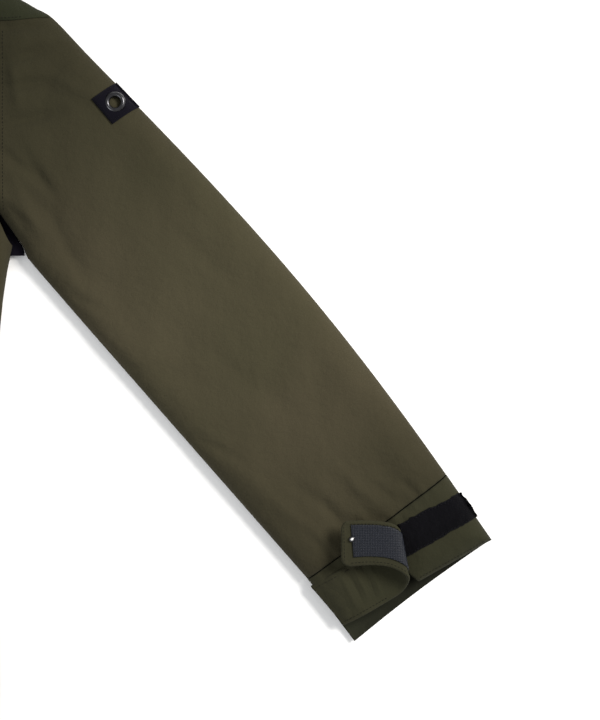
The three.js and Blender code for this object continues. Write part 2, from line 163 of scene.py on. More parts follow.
lie = {
    "edgeTop": 6.6 * mm,  # height of the upper layer where it is sewn along an edge
    "edgeUnder": 4.4 * mm,
    "bodyLoft": 25.5 * mm,
    "sleeveLoft": 22.6 * mm,
    "edgeRound": 26 * mm,
    "cloth": 1.1 * mm,
    "pucker": 0.6 * mm,
    "puckerPitch": 12 * mm,
    "puckerReach": 9 * mm,
}
trays = ["back_panel", "hem_band_back", "collar_back", "hood_back"]
trays += [f"{side}_{part}" for side in ("left", "right") for part in ("sleeve_under", "cuff_back")]
floors = {name: flatOutlines(name, below=True)[0] for name in trays}
sleeveLow, sleeveHigh = corners("left_sleeve_under")
shoulderTip = Vector((corners("left_shoulder_cap")[1].x, corners("left_shoulder_cap")[0].y + 5.5 * mm))
cuffLow, cuffHigh = corners("left_cuff_back")
cuffCorner = Vector((cuffHigh.x, floors["left_cuff_back"][np.argmax(floors["left_cuff_back"][:, 0]), 1]))
sleeveRun = (cuffCorner - shoulderTip).normalized()
sleeveCross = Vector((sleeveRun.y, -sleeveRun.x))
sleeveLength = (cuffCorner - shoulderTip).length


def onSleeve(length, across, side=1):  # millimetres along and across the sleeve, from the shoulder tip
    p = shoulderTip + sleeveRun * (length * mm) + sleeveCross * (across * mm)
    return (side * p.x, p.y)


def sewnEdges():  # edges where the upper and under layers meet: not the mouths, not seams inside the jacket
    kept = []
    for name, run in floors.items():
        others = np.vstack([segmentsOf(r) for n, r in floors.items() if n != name])
        own = segmentsOf(run)
        shared = np.maximum(nearest(own[:, :2], others)[0], nearest(own[:, 2:], others)[0]) < 9 * mm
        way = own[:, 2:] - own[:, :2]
        way = np.abs(way) / np.linalg.norm(way, axis=1)[:, None]
        mouth = np.zeros(len(own), bool)
        if name == "hem_band_back":
            mouth = way[:, 0] > 0.9
        if name.endswith("cuff_back"):
            mouth = way @ np.abs(np.array(sleeveRun)) < 0.93
        kept.append(own[~shared & ~mouth])
    return np.vstack(kept)


edges = sewnEdges()
seamEdges = np.vstack([segmentsOf(r) for r in floors.values()])

# soft folds: length and across at each end, width and height, all in millimetres
sleeveFolds = [
    (-28, 60, 40, 105, 9, 3.0), (-10, 30, 52, 84, 11, 2.2), (30, 10, 66, 70, 10, -1.8),
    (20, 118, 92, 136, 9, 2.6), (62, 140, 132, 118, 10, -2.0), (88, 148, 160, 126, 9, 2.2),
    (60, 96, 168, 92, 16, 1.8), (120, 60, 250, 74, 22, 1.5), (150, 130, 250, 118, 14, -1.8),
    (230, 40, 330, 66, 20, -1.4), (270, 150, 340, 108, 14, 1.8), (300, 140, 372, 96, 12, -1.5),
    (352, 2, 410, 46, 16, 1.6), (392, 10, 452, 60, 15, -1.4), (420, 150, 480, 100, 15, 1.6),
    (452, 134, 556, 116, 7, 2.6), (470, 108, 552, 88, 6, -2.4), (486, 66, 550, 60, 6, 2.2),
    (500, 96, 550, 100, 4.5, -2.2), (524, 50, 552, 44, 4, -2.0), (512, 126, 552, 122, 4, -2.0),
    (530, 80, 553, 76, 3.6, 1.8), (534, 30, 553, 26, 3.6, -1.6), (380, 150, 430, 128, 5, -2.0),
    (196, 156, 240, 138, 5, -2.0), (216, 40, 300, 30, 9, -1.6), (330, 90, 420, 66, 11, -1.6),
    (500, 34, 552, 36, 8, -1.2), (516, 14, 552, 18, 7, 1.0),
]
cuffFolds = [  # the same, measured back from the cuff's tip
    (75, 116, 79, 150, 2.6, -3.0), (78, 124, 80, 146, 2.0, -1.4), (44, 93, 33, 101, 3.4, 1.5),
    (47, 101, 38, 110, 3.0, -1.3), (47, 108, 36, 118, 3.4, 1.2), (46, 124, 32, 128, 5, 0.9),
    (86, 68, 80, 67, 2.6, -1.4), (80, 54, 70, 55, 3.2, 1.2), (74, 42, 71, 52, 3.0, -1.1),
    (82, 20, 73, 18, 4.0, 0.9), (20, 30, 14, 60, 6, 0.7), (62, 136, 40, 142, 6, 0.9),
]
bodyFolds = [
    (236, 250, 150, 205, 15, 3.0), (240, 205, 172, 150, 14, -2.2), (246, 130, 190, 60, 15, 2.8),
    (252, 96, 214, -10, 13, -2.2), (60, 250, 110, 120, 22, 1.8), (40, 40, 96, -70, 24, 1.6),
    (240, -60, 150, -96, 16, 1.6), (232, -150, 180, -104, 12, -1.2), (60, -330, 70, -296, 14, 1.6),
    (120, -344, 128, -300, 9, 1.5), (180, -344, 196, -300, 9, 1.4), (228, -340, 236, -220, 9, -1.5),
    (34, -200, 70, -150, 16, -1.4), (90, 330, 150, 250, 20, 1.6), (150, 470, 128, 620, 12, 1.6),
    (244, 259, 292, 262, 4, -2.6), (250, 246, 300, 250, 7, 1.6),
    (253, 226, 304, 243, 5, -3.2), (252, 203, 299, 211, 5.5, -4.2), (252, 170, 309, 183, 5.5, -4.0),
    (262, 232, 271, 186, 4.5, 2.4), (253, 147, 296, 114, 5, -2.8), (262, 122, 291, 70, 5, 2.6),
    (272, 150, 305, 100, 5, -2.6), (256, 98, 277, 79, 4, -2.6), (296, 92, 330, 26, 6, -2.2),
    (322, 9, 346, -42, 5, -2.2), (330, -14, 392, -60, 7, 1.8), (300, 214, 352, 190, 6, 2.0),
    (60, 745, 110, 715, 12, 1.4), (130, 440, 140, 520, 10, -1.4),
]


def foldHeight(points):
    total = np.zeros(len(points))
    cuffLength = sleeveLength / mm
    onArm = sleeveFolds + [(cuffLength - a, b, cuffLength - c, d, w, h) for a, b, c, d, w, h in cuffFolds]
    for side in (1, -1):
        spans = [(*onSleeve(a, b, side), *onSleeve(c, d, side), w, h) for a, b, c, d, w, h in onArm]
        shift = 1 if side > 0 else -0.8
        spans += [(side * a * mm, b * mm, side * c * mm, d * mm, w, h * shift) for a, b, c, d, w, h in bodyFolds]
        for ax, ay, bx, by, width, height in spans:
            rel = points - np.array([ax, ay])
            span = np.array([bx - ax, by - ay])
            t = np.clip(rel @ span / (span @ span), 0, 1)
            gap = np.linalg.norm(rel - t[:, None] * span, axis=1) / (width * mm)
            total += height * mm * np.exp(-gap**2) * np.sin(np.pi * (0.12 + 0.76 * t))
    return total


def ripple(points, scale, seed=0.0):
    return np.array([noise.noise(Vector((x / scale, y / scale, seed))) for x, y in points])


def smooth(t):
    t = np.clip(t, 0, 1)
    return t * t * (3 - 2 * t)


def loftAt(points):
    reach = smooth((np.abs(points[:, 0]) - corners("back_panel")[1].x * 0.94) / (60 * mm))
    return lie["bodyLoft"] + (lie["sleeveLoft"] - lie["bodyLoft"]) * reach


def lieOfTop(points):
    gap, along = nearest(points, edges)
    t = np.clip(gap / lie["edgeRound"], 0, 1)
    swell = np.sqrt(1 - (1 - t) ** 2.2)
    z = lie["edgeTop"] + (loftAt(points) - lie["edgeTop"]) * swell
    seamGap, seamAlong = nearest(points, seamEdges)
    wave = np.sin(seamAlong / lie["puckerPitch"] * 2 * np.pi + 3 * ripple(points, 0.05, 4.0))
    z = z + lie["pucker"] * wave * np.exp(-seamGap / lie["puckerReach"])
    soft = foldHeight(points) + 1.7 * mm * ripple(points, 0.11, 1.0) + 0.8 * mm * ripple(points, 0.037, 2.0)
    calm = smooth((np.abs(points[:, 0]) - 14 * mm) / (30 * mm))  # straight and level along the zip
    return z + soft * calm * np.minimum(1, gap / (16 * mm))


def lieOfUnder(points):
    gap, _ = nearest(points, edges)
    t = np.clip(gap / lie["edgeRound"], 0, 1)
    return lie["edgeUnder"] * (1 - np.sqrt(1 - (1 - t) ** 2.2))


# Making pieces.

def addMesh(name, verts, faces):
    mesh = bpy.data.meshes.new(name)
    mesh.from_pydata([tuple(map(float, v)) for v in verts], [], [tuple(map(int, f)) for f in faces])
    mesh.validate()
    mesh.update()
    piece = bpy.data.objects.new(name, mesh)
    bpy.context.scene.collection.objects.link(piece)
    for face in mesh.polygons:
        face.use_smooth = True
    return piece


def netOf(run, step, holes=(), rings=(1.2 * mm, 3.2 * mm)):  # a triangle net filling an outline
    loops = [run, *holes]
    points = [loop for loop in loops]
    allSegments = np.vstack([segmentsOf(loop) for loop in loops])
    for k, loop in enumerate(loops):
        way = np.roll(loop, -1, axis=0) - np.roll(loop, 1, axis=0)
        way /= np.linalg.norm(way, axis=1)[:, None]
        normal = np.stack([-way[:, 1], way[:, 0]], axis=1) * (1 if k == 0 else -1)
        for ring in rings:
            shifted = loop + normal * ring
            shifted = shifted[nearest(shifted, allSegments)[0] > ring * 0.93]
            points.append(shifted)
    low, high = run.min(axis=0), run.max(axis=0)
    rowGap = step * math.sqrt(3) / 2
    grid = []
    for j in range(int((high[1] - low[1]) / rowGap) + 2):
        xs = np.arange(low[0] + (j % 2) * step / 2, high[0], step)
        grid.append(np.stack([xs, np.full(len(xs), low[1] + j * rowGap)], axis=1))
    grid = np.vstack(grid)
    grid = grid[inside(grid, run)]
    grid = grid[nearest(grid, allSegments)[0] > rings[-1] + step * 0.45]
    points.append(grid)
    borders, start = [], 0
    for loop in loops:
        borders += [(start + i, start + (i + 1) % len(loop)) for i in range(len(loop))]
        start += len(loop)
    flat = np.vstack(points)
    verts, _, faces, _, _, _ = delaunay_2d_cdt([Vector(p) for p in flat], borders, [], 1, 1e-7)
    verts = np.array([tuple(v) for v in verts])
    faces = np.array([list(f) for f in faces])
    centres = verts[faces].mean(axis=1)
    keep = inside(centres, run)
    for hole in holes:
        keep &= ~inside(centres, hole)
    return verts, faces[keep]


def sewnSheet(name, run, top, thick, step=5 * mm, holes=(), roll=0.5 * mm, rollReach=2.2 * mm):
    flat, faces = netOf(run, step, holes)
    borders = np.vstack([segmentsOf(loop) for loop in (run, *holes)])
    gap, _ = nearest(flat, borders)
    edge = np.clip(gap / rollReach, 0, 1)
    z = top(flat)
    count = len(flat)
    upper = np.column_stack([flat, z - roll * (1 - edge) ** 2])
    lower = np.column_stack([flat, z - thick])
    used = {}
    for f in faces:
        for a, b in ((f[0], f[1]), (f[1], f[2]), (f[2], f[0])):
            used[(a, b)] = True
    rim = [(a, b) for a, b in used if (b, a) not in used]
    sides = [(b, a, a + count, b + count) for a, b in rim]
    allFaces = [tuple(f) for f in faces] + [tuple(f[::-1] + count) for f in faces] + sides
    return addMesh(name, np.vstack([upper, lower]), allFaces)


def stitches(name, runs, top, pitch=3.3 * mm, length=2.5 * mm, girth=0.34 * mm):
    verts, faces = [], []
    for run in runs:
        way = np.diff(run[:, :2], axis=0)
        lengths = np.linalg.norm(way, axis=1)
        marks = np.concatenate([[0], np.cumsum(lengths)])
        count = int(marks[-1] / pitch)
        if count < 1:
            continue
        places = (np.arange(count) + 0.5) * pitch
        mid = np.column_stack([np.interp(places, marks, run[:, k]) for k in (0, 1)])
        ahead = np.column_stack([np.interp(places + length / 2, marks, run[:, k]) for k in (0, 1)])
        turn = ahead - mid
        turn /= np.maximum(np.linalg.norm(turn, axis=1), 1e-9)[:, None]
        zs = top(mid) if callable(top) else np.interp(places, marks, run[:, 2])
        for (x, y), (dx, dy), z in zip(mid, turn, zs):
            base = len(verts)
            for along, wide, rise in ((-0.5, 0.35, 0.0), (-0.2, 1, 0.75), (0.2, 1, 0.75), (0.5, 0.35, 0.0)):
                for across, up in ((-1, -0.2), (0, 1), (1, -0.2)):
                    px = x + dx * along * length - dy * across * wide * girth
                    py = y + dy * along * length + dx * across * wide * girth
                    verts.append((px, py, z + girth * (up * wide * 0.5 + rise * 0.4)))
            for k in range(3):
                for m in range(3):
                    a = base + 3 * k + m
                    b = base + 3 * k + (m + 1) % 3
                    faces.append((a, b, b + 3, a + 3))
            faces += [(base + 2, base + 1, base), (base + 9, base + 10, base + 11)]
    return addMesh(name, verts, faces)


def insetRun(run, inset, keep=None):  # a run moved inwards, cut where keep says
    way = np.roll(run, -1, axis=0) - np.roll(run, 1, axis=0)
    way /= np.linalg.norm(way, axis=1)[:, None]
    moved = run + np.stack([-way[:, 1], way[:, 0]], axis=1) * inset
    fine = nearest(moved, segmentsOf(run))[0] > inset * 0.96
    if keep is not None:
        fine &= np.array([bool(keep(x, y)) for x, y in moved])
    pieces, current = [], []
    start = int(np.argmin(fine)) if not fine.all() else 0
    for k in range(len(run) + 1):
        i = (start + k) % len(run)
        if fine[i] and k < len(run) + (1 if fine.all() else 0):
            current.append(moved[i])
        else:
            if len(current) > 2:
                pieces.append(np.array(current))
            current = []
    if len(current) > 2:
        pieces.append(np.array(current))
    return pieces


def splined(points, count):  # a smooth run through these points
    points = np.array(points, float)
    t = np.linspace(0, len(points) - 1, count)
    i = np.minimum(t.astype(int), len(points) - 2)
    f = (t - i)[:, None]
    a, b, c, d = (points[np.clip(i + k, 0, len(points) - 1)] for k in (-1, 0, 1, 2))
    return 0.5 * (2 * b + (c - a) * f + (2 * a - 5 * b + 4 * c - d) * f**2 + (3 * b - a - 3 * c + d) * f**3)


def gather(shapes):  # many small shapes as one list of points and faces
    verts, faces = [], []
    for points, sides in shapes:
        base = len(verts)
        verts += list(points)
        faces += [tuple(i + base for i in side) for side in sides]
    return verts, faces


def loftShape(sections, ring=False):  # closed sections joined in a row, capped unless they meet in a ring
    rows, count = len(sections), len(sections[0])
    last = rows if ring else rows - 1
    faces = []
    for i in range(last):
        for j in range(count):
            a, b = i * count + j, i * count + (j + 1) % count
            c, d = ((i + 1) % rows) * count + (j + 1) % count, ((i + 1) % rows) * count + j
            faces.append((a, b, c, d))
    if not ring:
        faces += [tuple(range(count))[::-1], tuple(range((rows - 1) * count, rows * count))]
    return [p for section in sections for p in section], faces


def facedOut(piece):
    mesh = bmesh.new()
    mesh.from_mesh(piece.data)
    bmesh.ops.recalc_face_normals(mesh, faces=mesh.faces)
    mesh.to_mesh(piece.data)
    mesh.free()
    for face in piece.data.polygons:
        face.use_smooth = True
    return piece


def shapesPiece(name, shapes):
    return facedOut(addMesh(name, *gather(shapes)))


def turnedShape(profile, centre, sides=32, hollow=False):  # (radius, height) pairs turned about Z
    ring = [(math.cos(2 * math.pi * k / sides), math.sin(2 * math.pi * k / sides)) for k in range(sides)]
    sections = [[(centre[0] + r * x, centre[1] + r * y, centre[2] + h) for x, y in ring] for r, h in profile]
    return loftShape(sections, ring=hollow)


def tubeShape(path, radius, sides=8):
    path = np.array(path, float)
    way = np.gradient(path, axis=0)
    way /= np.linalg.norm(way, axis=1)[:, None]
    up = np.tile([0.0, 0.0, 1.0], (len(path), 1))
    across = np.cross(way, up)
    across /= np.maximum(np.linalg.norm(across, axis=1), 1e-9)[:, None]
    up = np.cross(across, way)
    angles = np.linspace(0, 2 * math.pi, sides, endpoint=False)
    return loftShape([[p + radius * (math.cos(q) * a + math.sin(q) * u) for q in angles]
                      for p, a, u in zip(path, across, up)])


def cushionShape(low, high, soften, levels=4):  # a block with rounded corners and softened faces
    low, high = np.array(low, float), np.array(high, float)
    middle, half = (low + high) / 2, (high - low) / 2
    corner = min(half[0], half[1], soften * 1.6)
    sections = []
    for k in range(levels + 1):
        angle = math.pi * k / levels
        shrink, rise = soften * (1 - math.sin(angle)), -math.cos(angle) * half[2]
        section = []
        for quarter in range(4):
            sx, sy = ((1, 1), (-1, 1), (-1, -1), (1, -1))[quarter]
            for m in range(3):
                turn = math.pi / 2 * (quarter + m / 2)
                x = sx * (half[0] - corner) + math.cos(turn) * max(corner - shrink, 1e-5)
                y = sy * (half[1] - corner) + math.sin(turn) * max(corner - shrink, 1e-5)
                section.append((middle[0] + x, middle[1] + y, middle[2] + rise))
        sections.append(section)
    return loftShape(sections)


class Strap:  # a flat strap between two edges, which may turn over on itself
    def __init__(self, near, far, sign=1):
        self.near, self.far = splined(near, 400), splined(far, 400)
        middle = (self.near + self.far) / 2
        marks = np.concatenate([[0], np.cumsum(np.linalg.norm(np.diff(middle, axis=0), axis=1))])
        self.length, self.marks = float(marks[-1]), marks / marks[-1]
        self.breadth = float(np.mean(np.linalg.norm(self.near - self.far, axis=1)))
        self.sign = sign

    def at(self, s, u):
        pick = [np.stack([np.interp(s, self.marks, run[:, k]) for k in range(3)], axis=-1)
                for run in (self.near, self.far)]
        return pick[0] * (1 - u[..., None]) + pick[1] * u[..., None]

    def grid(self, s, u):
        middle = self.at(s, u)
        normal = np.cross(np.gradient(middle, axis=0), np.gradient(middle, axis=1)) * self.sign
        return middle, normal / np.maximum(np.linalg.norm(normal, axis=-1), 1e-12)[..., None]

    def piece(self, name, thick, rows=60, cols=15, span=(0, 1), width=(0, 1), lift=0.0, corner=0.0, bead=0.0,
              folds=()):
        even = 0.5 - 0.5 * np.cos(np.pi * np.linspace(0, 1, cols))
        s, u = np.meshgrid(np.linspace(*span, rows), width[0] + (width[1] - width[0]) * even, indexing="ij")
        rim = np.minimum(u - width[0], width[1] - u) * self.breadth
        if corner:
            cut = corner - np.sqrt(np.maximum(corner**2 - np.maximum(corner - rim, 0) ** 2, 0))
            s = s * (1 - cut / self.length)
        rim = np.minimum(rim, (s.max(axis=0)[None, :] - s) * self.length)
        middle, normal = self.grid(s, u)
        for place, wide, deep in folds:
            lean = place + 0.05 * (u - 0.5)
            middle = middle + normal * (deep * np.exp(-((s - lean) / wide) ** 2) * smooth((u - 0.08) / 0.4))[..., None]
        half = thick / 2 * np.sqrt(np.maximum(1 - 0.92 * (1 - np.minimum(1, rim / (thick * 0.7))) ** 2, 0))
        half = half + bead * np.exp(-((rim - 2.4 * mm) / (1.5 * mm)) ** 2)
        top, bottom = middle + normal * (lift + half)[..., None], middle + normal * (lift - half)[..., None]
        count, faces = rows * cols, []
        for i in range(rows - 1):
            for j in range(cols - 1):
                a, b = i * cols + j, i * cols + j + 1
                faces += [(a, b, b + cols, a + cols), (a + count, a + cols + count, b + cols + count, b + count)]
        rimRun = [j for j in range(cols)] + [i * cols + cols - 1 for i in range(1, rows)]
        rimRun += [(rows - 1) * cols + j for j in range(cols - 2, -1, -1)] + [i * cols for i in range(rows - 2, 0, -1)]
        for a, b in zip(rimRun, rimRun[1:] + rimRun[:1]):
            faces.append((a, a + count, b + count, b))
        return facedOut(addMesh(name, np.vstack([top.reshape(-1, 3), bottom.reshape(-1, 3)]), faces))


def give(piece, look, body=None, blendTo=None):
    if not piece.data.materials:
        piece.data.materials.append(look)
    if blendTo:
        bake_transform(piece)
    else:
        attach(piece, body)
    return piece


# Materials.

def nodeOf(tree, kind, x, y, **values):
    node = tree.nodes.new(kind)
    node.location = (x, y)
    for key, value in values.items():
        setattr(node, key, value)
    return node


def blankLook(name):
    look = bpy.data.materials.new(name)
    look.use_nodes = True
    tree = look.node_tree
    shader = tree.nodes["Principled BSDF"]
    where = nodeOf(tree, "ShaderNodeTexCoord", -1500, 0)
    return look, tree, shader, where.outputs["Object"]


def noiseAt(tree, where, scale, detail=3.0, rough=0.55, y=0, stretch=None, turn=0.0):
    source = where
    if stretch:
        mapping = nodeOf(tree, "ShaderNodeMapping", -1300, y)
        mapping.inputs["Scale"].default_value = stretch
        mapping.inputs["Rotation"].default_value = (0, 0, turn)
        tree.links.new(where, mapping.inputs["Vector"])
        source = mapping.outputs["Vector"]
    grain = nodeOf(tree, "ShaderNodeTexNoise", -1100, y)
    grain.inputs["Scale"].default_value = scale
    grain.inputs["Detail"].default_value = detail
    grain.inputs["Roughness"].default_value = rough
    tree.links.new(source, grain.inputs["Vector"])
    return grain.outputs["Fac"]


def rampOf(tree, source, stops, x=-800, y=0):
    ramp = nodeOf(tree, "ShaderNodeValToRGB", x, y)
    for i, (place, colour) in enumerate(stops):
        stop = ramp.color_ramp.elements[i] if i < 2 else ramp.color_ramp.elements.new(place)
        stop.position = place
        stop.color = (*colour, 1)
    tree.links.new(source, ramp.inputs["Fac"])
    return ramp.outputs["Color"]


def mixed(tree, a, b, amount, kind="MIX", x=-500, y=0):
    mix = nodeOf(tree, "ShaderNodeMix", x, y, data_type="RGBA", blend_type=kind)
    tree.links.new(a, mix.inputs[6])
    tree.links.new(b, mix.inputs[7])
    if isinstance(amount, float):
        mix.inputs["Factor"].default_value = amount
    else:
        tree.links.new(amount, mix.inputs["Factor"])
    return mix.outputs[2]


def shade(colour, factor):
    return tuple(min(1.0, c * factor) for c in colour)


def weaveHeight(tree, where, pitch, turn, y):  # the ribs of a twill, or of a knit
    mapping = nodeOf(tree, "ShaderNodeMapping", -1300, y)
    mapping.inputs["Rotation"].default_value = (0, 0, turn)
    tree.links.new(where, mapping.inputs["Vector"])
    wave = nodeOf(tree, "ShaderNodeTexWave", -1100, y, wave_type="BANDS", bands_direction="X")
    wave.inputs["Scale"].default_value = 0.314 / pitch
    wave.inputs["Distortion"].default_value = 0.6
    wave.inputs["Detail"].default_value = 1.0
    wave.inputs["Detail Scale"].default_value = 2.0
    tree.links.new(mapping.outputs["Vector"], wave.inputs["Vector"])
    return wave.outputs["Fac"]


def fadeAt(tree, where):  # share of painted light: 1 at the middle of either arm, falling to 0 a forearm's length away
    split = nodeOf(tree, "ShaderNodeSeparateXYZ", -1300, 700)
    tree.links.new(where, split.inputs[0])
    reach = nodeOf(tree, "ShaderNodeMath", -1150, 700, operation="ABSOLUTE")
    tree.links.new(split.outputs["X"], reach.inputs[0])
    folded = nodeOf(tree, "ShaderNodeCombineXYZ", -1000, 700)
    tree.links.new(reach.outputs[0], folded.inputs["X"])
    tree.links.new(split.outputs["Y"], folded.inputs["Y"])
    away = nodeOf(tree, "ShaderNodeVectorMath", -850, 700, operation="DISTANCE")
    away.inputs[1].default_value = (*onSleeve(320, 62), 0)
    tree.links.new(folded.outputs[0], away.inputs[0])
    fade = nodeOf(tree, "ShaderNodeMapRange", -700, 700, interpolation_type="SMOOTHSTEP")
    fade.inputs["From Min"].default_value = 0.36
    fade.inputs["From Max"].default_value = 0.0
    tree.links.new(away.outputs["Value"], fade.inputs["Value"])
    return fade.outputs["Result"]


def clothLook(name, colour, warm, pitch=0.9 * mm, turn=0.9, rough=0.88, sheen=0.02, bump=0.35, mottle=0.10, wearAndPaintedLight=0.0,
              crumple=0.6):
    look, tree, shader, where = blankLook(name)
    broad = noiseAt(tree, where, 5.0, 2.0, 0.5, 300)
    fine = noiseAt(tree, where, 900.0, 3.0, 0.6, 0)
    streak = noiseAt(tree, where, 26.0, 4.0, 0.6, -300, stretch=(1.0, 0.25, 1.0), turn=turn)
    base = rampOf(tree, broad, [(0.34, shade(colour, 1 - mottle)), (0.66, warm)], y=300)
    flecks = rampOf(tree, fine, [(0.3, (0.92,) * 3), (0.72, (1.07,) * 3)], y=0)
    wash = rampOf(tree, streak, [(0.3, (0.93,) * 3), (0.7, (1.06,) * 3)], y=-300)
    tone = mixed(tree, base, flecks, 1.0, "MULTIPLY", -500, 200)
    tone = mixed(tree, tone, wash, 1.0, "MULTIPLY", -300, 200)
    if wearAndPaintedLight:  # painted light and shade: paler and warmer towards the middle of each arm, darker towards the shoulder and the hem
        paintedLitShare = fadeAt(tree, where)
        pale = rampOf(tree, paintedLitShare, [(0.0, (1 - wearAndPaintedLight, 1 - wearAndPaintedLight, 1 - wearAndPaintedLight)), (1.0, (1 + wearAndPaintedLight, 1 + wearAndPaintedLight * 0.9, 1 + wearAndPaintedLight * 1.1))],
                      y=600)
        tone = mixed(tree, tone, pale, 1.0, "MULTIPLY", -200, 400)
    tree.links.new(tone, shader.inputs["Base Color"])
    ribs = weaveHeight(tree, where, pitch, turn, -600)
    roughness = nodeOf(tree, "ShaderNodeMapRange", -500, -150)
    roughness.inputs["To Min"].default_value = rough - 0.06
    roughness.inputs["To Max"].default_value = min(1.0, rough + 0.06)
    tree.links.new(fine, roughness.inputs["Value"])
    tree.links.new(roughness.outputs["Result"], shader.inputs["Roughness"])
    height = nodeOf(tree, "ShaderNodeMath", -700, -500, operation="MULTIPLY_ADD")
    height.inputs[1].default_value = 0.5
    tree.links.new(ribs, height.inputs[0])
    tree.links.new(fine, height.inputs[2])
    relief = nodeOf(tree, "ShaderNodeBump", -300, -500)
    relief.inputs["Strength"].default_value = bump
    relief.inputs["Distance"].default_value = 0.35 * mm
    tree.links.new(height.outputs[0], relief.inputs["Height"])
    creases = noiseAt(tree, where, 34.0, 6.0, 0.62, -900)
    crease = nodeOf(tree, "ShaderNodeBump", -500, -800)
    crease.inputs["Strength"].default_value = crumple
    crease.inputs["Distance"].default_value = 5 * mm
    tree.links.new(creases, crease.inputs["Height"])
    tree.links.new(crease.outputs["Normal"], relief.inputs["Normal"])
    tree.links.new(relief.outputs["Normal"], shader.inputs["Normal"])
    shader.inputs["Sheen Weight"].default_value = sheen
    shader.inputs["Sheen Roughness"].default_value = 0.6
    shader.inputs["Specular IOR Level"].default_value = 0.04
    return look


def metalLook(name, colour, rough=0.34):
    look, tree, shader, where = blankLook(name)
    grain = noiseAt(tree, where, 900.0, 3.0, 0.6, 0, stretch=(1.0, 8.0, 1.0))
    wearAndPaintedLight = noiseAt(tree, where, 160.0, 4.0, 0.6, 300)
    tone = rampOf(tree, wearAndPaintedLight, [(0.3, shade(colour, 0.7)), (0.7, shade(colour, 1.15))], y=300)
    tree.links.new(tone, shader.inputs["Base Color"])
    shader.inputs["Metallic"].default_value = 1.0
    level = nodeOf(tree, "ShaderNodeMapRange", -500, -150)
    level.inputs["To Min"].default_value = rough - 0.1
    level.inputs["To Max"].default_value = rough + 0.14
    tree.links.new(grain, level.inputs["Value"])
    tree.links.new(level.outputs["Result"], shader.inputs["Roughness"])
    relief = nodeOf(tree, "ShaderNodeBump", -300, -400)
    relief.inputs["Strength"].default_value = 0.12
    relief.inputs["Distance"].default_value = 0.1 * mm
    tree.links.new(grain, relief.inputs["Height"])
    tree.links.new(relief.outputs["Normal"], shader.inputs["Normal"])
    return look


def mouldedLook(name, colour, rough=0.45, ribs=0.0, gloss=0.35):
    look, tree, shader, where = blankLook(name)
    grain = noiseAt(tree, where, 700.0, 3.0, 0.6, 0)
    tone = rampOf(tree, grain, [(0.3, shade(colour, 0.8)), (0.7, shade(colour, 1.3))], y=300)
    tree.links.new(tone, shader.inputs["Base Color"])
    level = nodeOf(tree, "ShaderNodeMapRange", -500, -150)
    level.inputs["To Min"].default_value = rough - 0.08
    level.inputs["To Max"].default_value = rough + 0.12
    tree.links.new(grain, level.inputs["Value"])
    tree.links.new(level.outputs["Result"], shader.inputs["Roughness"])
    relief = nodeOf(tree, "ShaderNodeBump", -300, -400)
    shader.inputs["Specular IOR Level"].default_value = gloss
    relief.inputs["Strength"].default_value = 1.0 if ribs else 0.2
    relief.inputs["Distance"].default_value = 0.5 * mm if ribs else 0.15 * mm
    height = grain
    if ribs:  # small hooks in rows both ways
        rows = [weaveHeight(tree, where, ribs, turn, -300 * k - 600) for k, turn in enumerate((0.0, math.pi / 2))]
        crossing = nodeOf(tree, "ShaderNodeMath", -700, -700, operation="MULTIPLY")
        tree.links.new(rows[0], crossing.inputs[0])
        tree.links.new(rows[1], crossing.inputs[1])
        height = crossing.outputs[0]
    tree.links.new(height, relief.inputs["Height"])
    tree.links.new(relief.outputs["Normal"], shader.inputs["Normal"])
    return look


def netLook(name, colour, pitch=2.4 * mm):  # open netting: threads both ways with holes between them
    look, tree, shader, where = blankLook(name)
    grain = noiseAt(tree, where, 700.0, 3.0, 0.6, 0)
    tone = rampOf(tree, grain, [(0.3, shade(colour, 0.7)), (0.7, shade(colour, 1.5))], y=300)
    tree.links.new(tone, shader.inputs["Base Color"])
    ways = []
    for k, turn in enumerate((math.pi / 4, -math.pi / 4)):
        ribs = weaveHeight(tree, where, pitch, turn, -300 * k - 200)
        thread = nodeOf(tree, "ShaderNodeMath", -800, -300 * k - 200, operation="GREATER_THAN")
        thread.inputs[1].default_value = 0.70
        tree.links.new(ribs, thread.inputs[0])
        ways.append(thread.outputs[0])
    either = nodeOf(tree, "ShaderNodeMath", -500, -300, operation="MAXIMUM")
    tree.links.new(ways[0], either.inputs[0])
    tree.links.new(ways[1], either.inputs[1])
    tree.links.new(either.outputs[0], shader.inputs["Alpha"])
    shader.inputs["Roughness"].default_value = 0.6
    return look


olive = (0.0325, 0.0302, 0.0160)
oliveWarm = (0.0372, 0.0328, 0.0184)
# the olive cloth carries painted light, paler and warmer mid-arm, and painted shade towards the shoulder and the hem
shellLook = clothLook("oliveCotton", olive, oliveWarm, wearAndPaintedLight=0.36, mottle=0.05)
cuffLook = clothLook("oliveCuffCotton", (0.0225, 0.0226, 0.0122), (0.0275, 0.0258, 0.0145))
# a darker olive for the cuffs' back layer
darkCuffBackLook = clothLook("darkCuffBackCloth", (0.012, 0.0125, 0.008), (0.021, 0.022, 0.0135), rough=0.8)
yokeLook = clothLook("greenYokeCotton", (0.0160, 0.0178, 0.0092), (0.0215, 0.0222, 0.0118))
ribLook = clothLook("ribKnit", (0.022, 0.022, 0.014), (0.030, 0.028, 0.017), pitch=3.2 * mm, turn=0.0, bump=1.0)
trimLook = clothLook("blackWebbing", (0.0028, 0.0025, 0.0052), (0.0044, 0.0036, 0.0070), pitch=1.3 * mm,
                     turn=0.5, bump=0.7)
threadLook = clothLook("oliveThread", (0.010, 0.010, 0.006), (0.014, 0.013, 0.008), pitch=0.5 * mm)
loopLook = clothLook("loopPile", (0.0008, 0.0008, 0.0014), (0.0046, 0.0043, 0.0062), rough=0.95, sheen=0.02,
                     bump=1.0, mottle=0.5, crumple=1.0)
